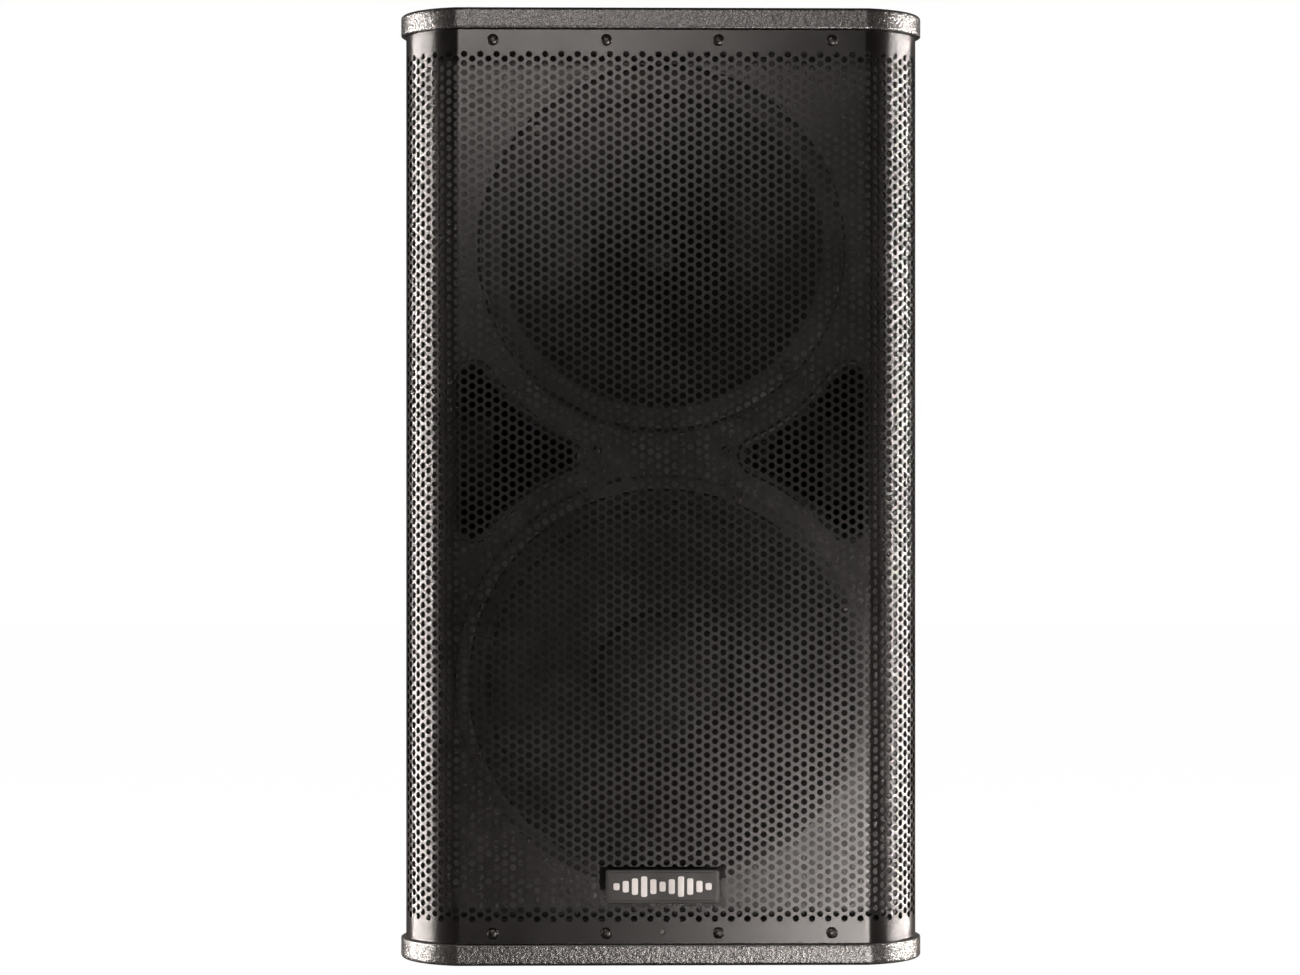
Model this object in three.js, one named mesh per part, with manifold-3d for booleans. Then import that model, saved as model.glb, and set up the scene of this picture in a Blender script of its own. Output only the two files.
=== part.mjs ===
// Two-way PA loudspeaker cabinet, in millimetres, +Z up, front towards -Y.
// The origin is the middle of the footprint, at the surface the rubber feet stand on.
import * as THREE from 'three';
import { mergeVertices } from 'three/addons/utils/BufferGeometryUtils.js';
import Module from 'manifold-3d';

const wasm = await Module();
wasm.setup();

// ---------------------------------------------------------------- driving dimensions

const GAP = 0.3; // between pieces that touch
const DEPTH = 365; // over the end caps
const FOOT_STAND = 1.5; // how far the feet hold the bottom cap off the floor
const CAP_HEIGHT = 15.5;
const CAP_OVERHANG = 3.8; // how far the end caps stand out past the body
const SHADOW_GAP = 1; // between each end cap and the grille
const GRILLE_HEIGHT = 684;
const SHEET = 1.5; // grille sheet
const GRILLE_BACKING = 2; // from the body outline to the wood behind the grille

const FRONT = -DEPTH / 2 + CAP_OVERHANG; // outer face of the grille
const REAR = DEPTH / 2 - CAP_OVERHANG; // outer face of the rear panel
const GRILLE_BOTTOM = FOOT_STAND + CAP_HEIGHT + SHADOW_GAP;
const GRILLE_TOP = GRILLE_BOTTOM + GRILLE_HEIGHT;
const MID_HEIGHT = (GRILLE_BOTTOM + GRILLE_TOP) / 2;
const HEIGHT = GRILLE_TOP + SHADOW_GAP + CAP_HEIGHT;

// Plan outline: a flat front, a small crease, a large corner, a side that tapers, a small rear corner.
const FLAT_HALF = 152.8;
const CREASE_RADIUS = 10;
const CREASE_TURN = 17; // degrees
const CORNER_RADIUS = 55;
const SIDE_HEADING = 100; // degrees: 90 would be straight back
const REAR_RADIUS = 14;

const PLY = 15; // side, top, bottom and rear panels
const BAFFLE_PLY = 18;
const BAFFLE_FRONT = FRONT + 30;
const BAFFLE_BACK = BAFFLE_FRONT + BAFFLE_PLY;
const TOP_PANEL_TOP = GRILLE_TOP + SHADOW_GAP - GAP;
const BOTTOM_PANEL_BOTTOM = GRILLE_BOTTOM - SHADOW_GAP + GAP;
const STRAIGHT_RUN = 25; // behind the baffle's face, before a side panel's inside follows the taper
const TAPER_START = -118; // depth where the inside of a side panel meets the taper
const INSIDE_TOP = TOP_PANEL_TOP - PLY;
const INSIDE_BOTTOM = BOTTOM_PANEL_BOTTOM + PLY;

const CAP_RIM = 9; // width of an end cap's rim
const CAP_SKIN = 4.5;
const CAP_RIB = 4;

const SCREW_XS = [-127, -42, 42, 127];
const SCREW_RISE = 334.5; // from mid height to each row of grille screws
const SCREW_SHANK = 2;
const SCREW_HEAD = 4.25;
const SCREW_LENGTH = 16;
const PIN_HOLE_RISE = 333.75; // the single small hole below mid height
const PIN_HOLE_RADIUS = 2;

const BADGE_SIZE = [85, 25.5];
const BADGE_WINDOW = [94, 29.6];
const BADGE_DROP = 299.5; // below mid height
const BADGE_PROUD = 1.5;
const BADGE_THICK = 3.5;

const WAVEGUIDE_HEIGHT = MID_HEIGHT + 180.2;
const WAVEGUIDE_RADIUS = 137.5;
const WAVEGUIDE_FLANGE = 5;
const THROAT_RADIUS = 12.7;
const THROAT_Y = BAFFLE_FRONT + 87;
const HORN_HOLE_RADIUS = 123;

const WOOFER_HEIGHT = MID_HEIGHT - 148.1;
const WOOFER_RADIUS = 155.5;
const WOOFER_HOLE_RADIUS = 142;
const WOOFER_FLANGE = 6;
const COIL_RADIUS = 38;
const CONE_RADIUS = 124;
const DUST_CAP_RADIUS = 51;

const PORT_CLEAR_WAVEGUIDE = 165; // port edge, about the waveguide's axis
const PORT_CLEAR_WOOFER = 178; // port edge, about the woofer's axis
const PORT_SIDE = 153; // port edge nearest the side
const PORT_TIP_ROUND = 8;
const PORT_CORNER_ROUND = 10;
const PORT_WALL = 3;
const PORT_LIP = 7;
const PORT_DEPTH = 92;

const HANDLE_Y = 30; // along the depth
const HANDLE_RISE = 20; // above mid height
const HANDLE_POCKET = [124, 84];
const HANDLE_DEPTH = 46;
const HANDLE_WALL = 3;
const HANDLE_FLANGE = 14;
const HANDLE_CLEARANCE = 8; // how much larger the hole in the side panel is than the pocket
const HANDLE_BAR_SPOT = [-11, 0, 18]; // outwards, along and up from the middle of the pocket's mouth

const POLE_RADIUS = 18.2; // for a 35 mm pole
const POLE_Y = -10;
const POLE_DEPTH = 82;
const POLE_WALL = 3;
const POLE_FLANGE_RADIUS = 42;

const INPUT_HEIGHT = 190;
const INPUT_PLATE = [190, 120];
const INPUT_DISH = [150, 84];
const INPUT_DEPTH = 30;
const SOCKET_X = 46;
const SOCKET_RADIUS = 13;

const RIG_RADIUS = 5; // M10
const RIG_HEAD = 9;
const RIG_TOP = [105, -30]; // x and y of the points in the top and bottom
const RIG_BOTTOM = [105, 25];
const RIG_REAR_HEIGHT = 640;
const FOOT_SPOTS = [[150, -128], [118, 138]];
const FOOT_RADIUS = 12;
const FOOT_HEIGHT = 6;

const BOARD_LIFT = 8; // crossover board above the bottom panel
const WADDING_SIZE = [230, 330];
const WADDING_THICK = 22;
const WADDING_HEIGHT = 450; // its middle, above the floor

// ---------------------------------------------------------------- materials

function finish(color, roughness, metalness) {
  return new THREE.MeshStandardMaterial({ color, roughness, metalness });
}

const GRILLE_STEEL = finish(0x2a2624, 0.45, 0.6);
const CAST_CAP = finish(0x2b2827, 0.75, 0.3);
const PAINTED_WOOD = finish(0x222120, 0.85, 0);
const RAW_WOOD = finish(0x1b1a19, 0.9, 0);
const BLACK_SCREW = finish(0x2c2b2a, 0.3, 0.9);
const BADGE = finish(0x2f2e2e, 0.35, 0.2);
const PLASTIC = finish(0x1c1c1c, 0.55, 0);
const CONE_PAPER = finish(0x1a1a1a, 0.9, 0);
const CLOTH = finish(0x161616, 0.95, 0);
const CAST_FRAME = finish(0x242424, 0.6, 0.5);
const STEEL = finish(0x9a9a98, 0.35, 1);
const FERRITE = finish(0x35322f, 0.8, 0.1);
const COPPER = finish(0xa8602f, 0.4, 0.9);
const TITANIUM = finish(0xb0aeab, 0.3, 1);
const BOARD = finish(0x1f4a2c, 0.6, 0);
const CAPACITOR = finish(0xb59a3a, 0.5, 0);
const RUBBER = finish(0x141414, 0.95, 0);
const WADDING = finish(0xc9c5ba, 1, 0);

// ---------------------------------------------------------------- solids

function weld(geometry) {
  const bare = new THREE.BufferGeometry();
  bare.setAttribute('position', geometry.getAttribute('position'));
  bare.setIndex(geometry.getIndex());
  const merged = mergeVertices(bare, 1e-4);
  const corners = merged.getIndex().array;
  const kept = [];
  for (let i = 0; i < corners.length; i += 3) {
    const [a, b, c] = [corners[i], corners[i + 1], corners[i + 2]];
    if (a !== b && b !== c && c !== a) kept.push(a, b, c);
  }
  merged.setIndex(kept);
  return merged;
}

function solid(geometry) {
  const welded = weld(geometry);
  const vertProperties = new Float32Array(welded.getAttribute('position').array);
  const triVerts = new Uint32Array(welded.getIndex().array);
  return new wasm.Manifold(new wasm.Mesh({ numProp: 3, vertProperties, triVerts }));
}

function surface(body) {
  const mesh = body.getMesh();
  const geometry = new THREE.BufferGeometry();
  geometry.setAttribute('position', new THREE.BufferAttribute(mesh.vertProperties, 3));
  geometry.setIndex(new THREE.BufferAttribute(mesh.triVerts, 1));
  const faceted = geometry.toNonIndexed();
  faceted.computeVertexNormals();
  return faceted;
}

function join(...geometries) {
  return surface(geometries.map(solid).reduce((all, next) => all.add(next)));
}

function cut(geometry, ...tools) {
  return surface(tools.map(solid).reduce((left, tool) => left.subtract(tool), solid(geometry)));
}

function common(geometry, other) {
  return surface(solid(geometry).intersect(solid(other)));
}

// Rings of equal length, each a counter-clockwise outline seen from above, closed by its first and last.
function stack(rings) {
  const count = rings[0].length;
  const corners = [];
  for (let ring = 0; ring + 1 < rings.length; ring += 1) {
    for (let i = 0; i < count; i += 1) {
      const here = ring * count + i;
      const next = ring * count + ((i + 1) % count);
      corners.push(here, next, next + count, here, next + count, here + count);
    }
  }
  const top = count * (rings.length - 1);
  const flat = rings[0].map((point) => new THREE.Vector2(point.x, point.y));
  for (const [a, b, c] of THREE.ShapeUtils.triangulateShape(flat, [])) {
    corners.push(c, b, a, top + a, top + b, top + c);
  }
  const geometry = new THREE.BufferGeometry().setFromPoints(rings.flat());
  geometry.setIndex(corners);
  return geometry;
}

function extrude(points, depth) {
  const shape = points instanceof THREE.Shape ? points : new THREE.Shape(points);
  return new THREE.ExtrudeGeometry(shape, { depth, bevelEnabled: false, curveSegments: 4 });
}

// A plan outline, extruded upwards.
function planSolid(points, bottom, top) {
  return extrude(points, top - bottom).translate(0, 0, bottom);
}

// An outline drawn in x and z, extruded backwards from a front face.
function faceSolid(points, front, thickness) {
  return extrude(points, thickness).rotateX(Math.PI / 2).translate(0, front + thickness, 0);
}

function block(low, high) {
  const size = high.map((value, axis) => value - low[axis]);
  const middle = high.map((value, axis) => (value + low[axis]) / 2);
  return new THREE.BoxGeometry(...size).translate(...middle);
}

// A closed profile of [radius, y] points turned about an axis along Y, at x = 0.
function turned(profile, height, segments) {
  const points = profile.map(([radius, y]) => new THREE.Vector2(radius, y));
  if (THREE.ShapeUtils.area(points) < 0) points.reverse();
  if (profile[0][0] > 0) points.push(points[0].clone());
  return new THREE.LatheGeometry(points, segments).translate(0, 0, height);
}

function rodAlongY(radius, from, to, x, z, sides) {
  const rod = new THREE.CylinderGeometry(radius, radius, to - from, sides);
  return rod.translate(x, (from + to) / 2, z);
}

function rodAlongZ(radius, from, to, x, y, sides) {
  const rod = new THREE.CylinderGeometry(radius, radius, to - from, sides).rotateX(Math.PI / 2);
  return rod.translate(x, y, (from + to) / 2);
}

function roundedRectangle([width, height], radius, [x, y] = [0, 0]) {
  const [halfWidth, halfHeight] = [width / 2 - radius, height / 2 - radius];
  const shape = new THREE.Shape();
  shape.absarc(x + halfWidth, y + halfHeight, radius, 0, Math.PI / 2);
  shape.absarc(x - halfWidth, y + halfHeight, radius, Math.PI / 2, Math.PI);
  shape.absarc(x - halfWidth, y - halfHeight, radius, Math.PI, 1.5 * Math.PI);
  shape.absarc(x + halfWidth, y - halfHeight, radius, 1.5 * Math.PI, 2 * Math.PI);
  return shape;
}

// ---------------------------------------------------------------- plan outline

// A heading is the direction of travel round the outline: 0 along +X, 90 straight back.
function direction(heading) {
  const angle = THREE.MathUtils.degToRad(heading);
  return new THREE.Vector2(Math.cos(angle), Math.sin(angle));
}

function outward(heading) {
  const ahead = direction(heading);
  return new THREE.Vector2(ahead.y, -ahead.x);
}

const CREASE_CENTRE = new THREE.Vector2(FLAT_HALF, FRONT + CREASE_RADIUS);
const CORNER_CENTRE = CREASE_CENTRE.clone()
  .addScaledVector(outward(CREASE_TURN), CREASE_RADIUS - CORNER_RADIUS);
const SIDE_START = CORNER_CENTRE.clone().addScaledVector(outward(SIDE_HEADING), CORNER_RADIUS);
const REAR_CENTRE = sidePoint(REAR - REAR_RADIUS, -REAR_RADIUS);

// The point at depth y on a line parallel to the side, offset outwards.
function sidePoint(y, offset) {
  const start = SIDE_START.clone().addScaledVector(outward(SIDE_HEADING), offset);
  const ahead = direction(SIDE_HEADING);
  return start.addScaledVector(ahead, (y - start.y) / ahead.y);
}

function arc(centre, radius, fromHeading, toHeading, steps) {
  const points = [];
  for (let step = 0; step <= steps; step += 1) {
    const heading = fromHeading + ((toHeading - fromHeading) * step) / steps;
    points.push(centre.clone().addScaledVector(outward(heading), radius));
  }
  return points;
}

// The front of the right half, offset outwards, as far as a heading on the large corner.
function frontArcs(offset, lastHeading) {
  const crease = arc(CREASE_CENTRE, CREASE_RADIUS + offset, 0, CREASE_TURN, 2);
  const corner = arc(CORNER_CENTRE, CORNER_RADIUS + offset, CREASE_TURN, lastHeading, 8);
  return [...crease, ...corner.slice(1)];
}

function rearArc(offset) {
  return arc(REAR_CENTRE, REAR_RADIUS + offset, SIDE_HEADING, 180, 4);
}

function mirrored(points) {
  return points.map((point) => new THREE.Vector2(-point.x, point.y)).reverse();
}

function bodyOutline(offset) {
  const right = [...frontArcs(offset, SIDE_HEADING), ...rearArc(offset)];
  return [...right, ...mirrored(right)];
}

function bodyLoft(layers) {
  const ring = ([offset, z]) => bodyOutline(offset).map((p) => new THREE.Vector3(p.x, p.y, z));
  return stack(layers.map(ring));
}

// The heading at which the large corner, offset outwards, passes depth y.
function cornerHeading(offset, y) {
  return THREE.MathUtils.radToDeg(Math.acos((CORNER_CENTRE.y - y) / (CORNER_RADIUS + offset)));
}

// ---------------------------------------------------------------- assembly

const cabinet = new THREE.Group();

function place(name, geometry, material, parent = cabinet) {
  const mesh = new THREE.Mesh(geometry, material);
  mesh.name = name;
  parent.add(mesh);
  return mesh;
}

// A group whose +X points out of the left or right side panel, centred on the handle.
function sideGroup(sign) {
  const spot = sidePoint(HANDLE_Y, 0);
  const group = new THREE.Group();
  group.position.set(sign * spot.x, spot.y, MID_HEIGHT + HANDLE_RISE);
  const turn = THREE.MathUtils.degToRad(SIDE_HEADING - 90);
  group.rotation.z = sign > 0 ? turn : Math.PI - turn;
  group.updateMatrix();
  return group;
}

// An outline drawn in y and z, extruded outwards along +X.
function sideSolid(shape, from, to) {
  return extrude(shape, to - from).rotateY(Math.PI / 2).rotateX(Math.PI / 2).translate(from, 0, 0);
}

// The mirror image across x = 0, with its faces still pointing out.
function flipX(geometry) {
  const flipped = weld(geometry).toNonIndexed().scale(-1, 1, 1);
  const points = flipped.getAttribute('position');
  for (let i = 0; i < points.count; i += 3) {
    const [x, y, z] = [points.getX(i), points.getY(i), points.getZ(i)];
    points.setXYZ(i, points.getX(i + 1), points.getY(i + 1), points.getZ(i + 1));
    points.setXYZ(i + 1, x, y, z);
  }
  flipped.computeVertexNormals();
  return flipped;
}

// ---------------------------------------------------------------- wooden cabinet

function sidePanel(sign) {
  const outer = -GRILLE_BACKING;
  const innerFront = SIDE_START.x - PLY;
  const points = [
    ...arc(CORNER_CENTRE, CORNER_RADIUS + outer, cornerHeading(outer, BAFFLE_FRONT), 90, 4),
    ...arc(CORNER_CENTRE, CORNER_RADIUS, 90 + 0.5, SIDE_HEADING, 3),
    ...rearArc(0),
    new THREE.Vector2(REAR_CENTRE.x, REAR - PLY - GAP),
    sidePoint(REAR - PLY - GAP, -PLY),
    sidePoint(TAPER_START, -PLY),
    new THREE.Vector2(innerFront, BAFFLE_FRONT + STRAIGHT_RUN),
    new THREE.Vector2(innerFront, BAFFLE_FRONT),
  ];
  const outline = sign > 0 ? points : mirrored(points);
  const hole = sideSolid(roundedRectangle(HANDLE_POCKET.map((side) => side + HANDLE_CLEARANCE), 16), -40, 40);
  hole.applyMatrix4(sideGroup(sign).matrix);
  return cut(planSolid(outline, GRILLE_BOTTOM, GRILLE_TOP), hole);
}

// The inside edge of a horizontal panel, clear of the side panels and the rear panel.
function panelOutline() {
  const offset = -GRILLE_BACKING;
  const clear = -PLY - GAP;
  const right = [
    ...frontArcs(offset, cornerHeading(offset, BAFFLE_FRONT - GAP)),
    new THREE.Vector2(SIDE_START.x - PLY - GAP, BAFFLE_FRONT - GAP),
    new THREE.Vector2(SIDE_START.x - PLY - GAP, BAFFLE_FRONT + STRAIGHT_RUN),
    sidePoint(TAPER_START - GAP, clear),
    sidePoint(REAR - PLY - 2 * GAP, clear),
  ];
  return [...right, ...mirrored(right)];
}

function screwHoles(z) {
  return SCREW_XS.map((x) => rodAlongY(SCREW_SHANK + GAP, FRONT - 1, FRONT + SCREW_LENGTH + 2, x, z, 10));
}

function topPanel() {
  const panel = planSolid(panelOutline(), INSIDE_TOP, TOP_PANEL_TOP);
  const [x, y] = RIG_TOP;
  const bolts = [x, -x].map((at) => rodAlongZ(RIG_RADIUS + GAP, INSIDE_TOP - 1, HEIGHT, at, y, 12));
  return cut(panel, ...screwHoles(MID_HEIGHT + SCREW_RISE), ...bolts);
}

function bottomPanel() {
  const panel = planSolid(panelOutline(), BOTTOM_PANEL_BOTTOM, INSIDE_BOTTOM);
  const [x, y] = RIG_BOTTOM;
  const bolts = [x, -x].map((at) => rodAlongZ(RIG_RADIUS + GAP, 0, INSIDE_BOTTOM + 1, at, y, 12));
  const pole = rodAlongZ(POLE_RADIUS + POLE_WALL + 1, 0, INSIDE_BOTTOM + 1, 0, POLE_Y, 24);
  return cut(panel, ...screwHoles(MID_HEIGHT - SCREW_RISE), ...bolts, pole);
}

function rearPanel() {
  const half = REAR_CENTRE.x - GAP;
  const panel = block([-half, REAR - PLY, GRILLE_BOTTOM], [half, REAR, GRILLE_TOP]);
  const size = [INPUT_DISH[0] + 8, INPUT_DISH[1] + 8];
  const window = faceSolid(roundedRectangle(size, 10, [0, INPUT_HEIGHT]), REAR - PLY - 1, PLY + 2);
  const bolt = rodAlongY(RIG_RADIUS + GAP, REAR - PLY - 1, REAR + 1, 0, RIG_REAR_HEIGHT, 12);
  const head = rodAlongY(RIG_HEAD + GAP, REAR - 6, REAR + 1, 0, RIG_REAR_HEIGHT, 16);
  return cut(panel, window, bolt, head);
}

// A rounded three-cornered outline between the two drivers, grown outwards by a wall.
function portOutline(grow) {
  const top = PORT_CLEAR_WAVEGUIDE - grow;
  const bottom = PORT_CLEAR_WOOFER - grow;
  const side = PORT_SIDE + grow;
  const tip = PORT_TIP_ROUND + grow;
  const corner = PORT_CORNER_ROUND + grow;
  const span = WAVEGUIDE_HEIGHT - WOOFER_HEIGHT;
  const tipDrop = (span ** 2 + (top + tip) ** 2 - (bottom + tip) ** 2) / (2 * span);
  const tipX = Math.sqrt((top + tip) ** 2 - tipDrop ** 2);
  const cornerX = side - corner;
  const topDrop = Math.sqrt((top + corner) ** 2 - cornerX ** 2);
  const bottomRise = Math.sqrt((bottom + corner) ** 2 - cornerX ** 2);
  const tipZ = WAVEGUIDE_HEIGHT - tipDrop;
  const towardsWaveguide = (x, drop) => Math.atan2(drop, -x);
  const towardsWoofer = (x, rise) => Math.atan2(-rise, -x);
  const shape = new THREE.Shape();
  const tipToWoofer = towardsWoofer(tipX, span - tipDrop);
  const tipToWaveguide = towardsWaveguide(tipX, tipDrop);
  shape.absarc(tipX, tipZ, tip, tipToWaveguide, tipToWoofer + 2 * Math.PI, false);
  const lowAngle = towardsWoofer(cornerX, bottomRise);
  shape.absarc(0, WOOFER_HEIGHT, bottom, tipToWoofer + Math.PI, lowAngle + Math.PI, true);
  shape.absarc(cornerX, WOOFER_HEIGHT + bottomRise, corner, lowAngle, 0, false);
  const highAngle = towardsWaveguide(cornerX, topDrop);
  shape.absarc(cornerX, WAVEGUIDE_HEIGHT - topDrop, corner, 0, highAngle, false);
  shape.absarc(0, WAVEGUIDE_HEIGHT, top, highAngle - Math.PI, tipToWaveguide - Math.PI, true);
  return shape.getPoints(4);
}

function portSolid(grow, front, thickness) {
  return faceSolid(portOutline(grow), front, thickness);
}

function baffle() {
  const half = SIDE_START.x - PLY - GAP;
  const low = [-half, BAFFLE_FRONT, INSIDE_BOTTOM + GAP];
  const high = [half, BAFFLE_BACK, INSIDE_TOP - GAP];
  const [from, to] = [BAFFLE_FRONT - 1, BAFFLE_BACK + 1];
  const woofer = rodAlongY(WOOFER_HOLE_RADIUS, from, to, 0, WOOFER_HEIGHT, 30);
  const horn = rodAlongY(HORN_HOLE_RADIUS, from, to, 0, WAVEGUIDE_HEIGHT, 30);
  const port = () => portSolid(PORT_WALL + 0.5, from, to - from);
  return cut(block(low, high), woofer, horn, port(), flipX(port()));
}

place('side_panel_left', sidePanel(-1), PAINTED_WOOD);
place('side_panel_right', sidePanel(1), PAINTED_WOOD);
place('top_panel', topPanel(), RAW_WOOD);
place('bottom_panel', bottomPanel(), RAW_WOOD);
place('rear_panel', rearPanel(), PAINTED_WOOD);
place('baffle', baffle(), RAW_WOOD);

// ---------------------------------------------------------------- cast end caps

// A tray with a rounded rim, ribs and bosses: "outer" is the face away from the cabinet.
function capBlank(outer, inner, bosses) {
  const up = Math.sign(outer - inner);
  const over = CAP_OVERHANG;
  const layers = [
    [over - 0.8, inner],
    [over, inner + up * 0.8],
    [over, outer - up * 2.4],
    [over - 2.4, outer],
  ];
  const pocketEnd = outer - up * CAP_SKIN;
  const ordered = (list) => (up > 0 ? list : [...list].reverse());
  const pocket = bodyLoft(ordered([[over - CAP_RIM, inner - up], [over - CAP_RIM, pocketEnd]]));
  const [low, high] = [Math.min(inner, pocketEnd), Math.max(inner, pocketEnd)];
  const limit = bodyLoft([[over - CAP_RIM / 2, low], [over - CAP_RIM / 2, high]]);
  const ribs = [-60, 60].map((x) => block([x - CAP_RIB / 2, -DEPTH, low], [x + CAP_RIB / 2, DEPTH, high]));
  const cross = [-75, 75].map((y) => block([-DEPTH, y - CAP_RIB / 2, low], [DEPTH, y + CAP_RIB / 2, high]));
  const pads = bosses.map(([radius, x, y]) => rodAlongZ(radius, low, high, x, y, 12));
  const inside = common(join(...ribs, ...cross, ...pads), limit);
  return join(cut(bodyLoft(ordered(layers)), pocket), inside);
}

function bothSides([x, y]) {
  return [[x, y], [-x, y]];
}

function capTop() {
  const spots = bothSides(RIG_TOP);
  const outer = HEIGHT;
  const inner = HEIGHT - CAP_HEIGHT;
  const blank = capBlank(outer, inner, spots.map(([x, y]) => [16, x, y]));
  const bolts = spots.map(([x, y]) => rodAlongZ(RIG_RADIUS + GAP, inner - 1, outer + 1, x, y, 12));
  const heads = spots.map(([x, y]) => rodAlongZ(RIG_HEAD + GAP, outer - 6, outer + 1, x, y, 16));
  return cut(blank, ...bolts, ...heads);
}

function capBottom() {
  const outer = FOOT_STAND;
  const inner = FOOT_STAND + CAP_HEIGHT;
  const rigs = bothSides(RIG_BOTTOM);
  const feet = FOOT_SPOTS.flatMap(bothSides);
  const bosses = [
    ...rigs.map(([x, y]) => [16, x, y]),
    ...feet.map(([x, y]) => [FOOT_RADIUS + 4, x, y]),
    [POLE_FLANGE_RADIUS + 4, 0, POLE_Y],
  ];
  const tools = [
    ...rigs.map(([x, y]) => rodAlongZ(RIG_RADIUS + GAP, outer - 1, inner + 1, x, y, 12)),
    ...rigs.map(([x, y]) => rodAlongZ(RIG_HEAD + GAP, outer - 1, outer + 6, x, y, 16)),
    ...feet.map(([x, y]) => rodAlongZ(FOOT_RADIUS + GAP, outer - 1, FOOT_HEIGHT + GAP, x, y, 16)),
    rodAlongZ(POLE_FLANGE_RADIUS + GAP, outer - 1, outer + POLE_WALL + 2 * GAP, 0, POLE_Y, 28),
    rodAlongZ(POLE_RADIUS + POLE_WALL + GAP, outer - 1, inner + 1, 0, POLE_Y, 24),
  ];
  return cut(capBlank(outer, inner, bosses), ...tools);
}

place('end_cap_top', capTop(), CAST_CAP);
place('end_cap_bottom', capBottom(), CAST_CAP);

// ---------------------------------------------------------------- grille, badge and screws

function grille() {
  const outside = frontArcs(0, 90);
  const inside = frontArcs(-SHEET, 90);
  const points = [
    ...mirrored(outside), ...outside,
    ...[...inside].reverse(), ...mirrored(inside).reverse(),
  ];
  const sheet = planSolid(points, GRILLE_BOTTOM, GRILLE_TOP);
  const window = roundedRectangle(BADGE_WINDOW, 2, [0, MID_HEIGHT - BADGE_DROP]);
  const holes = [MID_HEIGHT - SCREW_RISE, MID_HEIGHT + SCREW_RISE].flatMap(screwHoles);
  const [pinHigh, pinLow] = [FRONT - 1, FRONT + SHEET + 1];
  const pin = rodAlongY(PIN_HOLE_RADIUS, pinHigh, pinLow, 0, MID_HEIGHT - PIN_HOLE_RISE, 12);
  return cut(sheet, faceSolid(window, FRONT - 1, SHEET + 2), ...holes, pin);
}

function badge() {
  const height = MID_HEIGHT - BADGE_DROP;
  const front = FRONT - BADGE_PROUD;
  const [width, tall] = BADGE_SIZE;
  const edge = new THREE.Shape(roundedRectangle([width - 2, tall - 2], 1.5, [0, height]).getPoints(3));
  const plate = new THREE.ExtrudeGeometry(edge, {
    depth: BADGE_THICK - 1, bevelThickness: 1, bevelSize: 1, bevelSegments: 1, curveSegments: 3,
  });
  plate.rotateX(Math.PI / 2).translate(0, front + BADGE_THICK, 0);
  const back = BAFFLE_FRONT - GAP;
  const posts = [-30, 30].map((x) => rodAlongY(3, front + 2, back, x, height - 8.5, 12));
  const trim = block([-width, back, 0], [width, REAR, MID_HEIGHT]);
  return cut(join(plate, ...posts), trim);
}

function panHeadScrew() {
  const under = -GAP;
  const top = under - 3;
  const profile = [
    [0, top], [2.6, top + 0.3], [SCREW_HEAD, top + 2],
    [SCREW_HEAD, under], [SCREW_SHANK, under], [SCREW_SHANK, SCREW_LENGTH - 2], [0, SCREW_LENGTH],
  ];
  const slot = (width, tall) => block([-width, top - 1, -tall], [width, top + 1.6, tall]);
  return cut(turned(profile, 0, 10), join(slot(2.2, 0.5), slot(0.5, 2.2)));
}

place('grille', grille(), GRILLE_STEEL);
place('badge_plate', badge(), BADGE);
for (const [row, sign] of [['top', 1], ['bottom', -1]]) {
  SCREW_XS.forEach((x, index) => {
    const screw = place(`grille_screw_${row}_${index + 1}`, panHeadScrew(), BLACK_SCREW);
    screw.position.set(x, FRONT, MID_HEIGHT + sign * SCREW_RISE);
  });
}

// ---------------------------------------------------------------- waveguide and compression driver

const HORN_FRONT = BAFFLE_FRONT - GAP - WAVEGUIDE_FLANGE;

// The horn's inner radius at depth y: a throat that opens out ever faster into the mouth.
function hornRadius(t) {
  const mouth = 113;
  return THROAT_RADIUS + (mouth - THROAT_RADIUS) * (0.55 * t + 0.45 * t ** 3);
}

function waveguide() {
  const steps = 5;
  const wall = 4;
  const inside = [];
  const outside = [];
  for (let step = 0; step <= steps; step += 1) {
    const t = step / steps;
    const y = THROAT_Y + (HORN_FRONT + 6 - THROAT_Y) * t;
    inside.push([hornRadius(t), y]);
    outside.push([hornRadius(t) + wall + 2 * t, y + 1.5 * t]);
  }
  const profile = [
    ...inside,
    [119, HORN_FRONT + 1.2], [124, HORN_FRONT], [WAVEGUIDE_RADIUS - 1.5, HORN_FRONT],
    [WAVEGUIDE_RADIUS, HORN_FRONT + 1.5], [WAVEGUIDE_RADIUS, BAFFLE_FRONT - GAP],
    [HORN_HOLE_RADIUS - 1, BAFFLE_FRONT - GAP],
    ...outside.slice(1).reverse(),
    [THROAT_RADIUS + 6, THROAT_Y - 7], [48, THROAT_Y - 7], [48, THROAT_Y],
  ];
  return turned(profile, WAVEGUIDE_HEIGHT, 28);
}

const DRIVER_FRONT = THROAT_Y + GAP;
const DRIVER_RADIUS = 57.5;
const DOME_RADIUS = 22;
const MAGNET_FRONT = DRIVER_FRONT + 10 + GAP;
const MAGNET_BACK = MAGNET_FRONT + 18;
const DRIVER_PLATE_BACK = MAGNET_BACK + GAP + 6;
const DRIVER_COVER_FRONT = DRIVER_PLATE_BACK + GAP;

function driverFrontPlate() {
  const pole = DOME_RADIUS - 1.5;
  const poleEnd = DRIVER_PLATE_BACK - 1.5;
  const profile = [
    [THROAT_RADIUS, DRIVER_FRONT], [DRIVER_RADIUS, DRIVER_FRONT], [DRIVER_RADIUS, DRIVER_FRONT + 10],
    [pole, DRIVER_FRONT + 10], [pole, poleEnd], [8, poleEnd],
  ];
  return turned(profile, WAVEGUIDE_HEIGHT, 20);
}

function ring(inner, outer, from, to, height, segments) {
  return turned([[inner, from], [outer, from], [outer, to], [inner, to]], height, segments);
}

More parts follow.
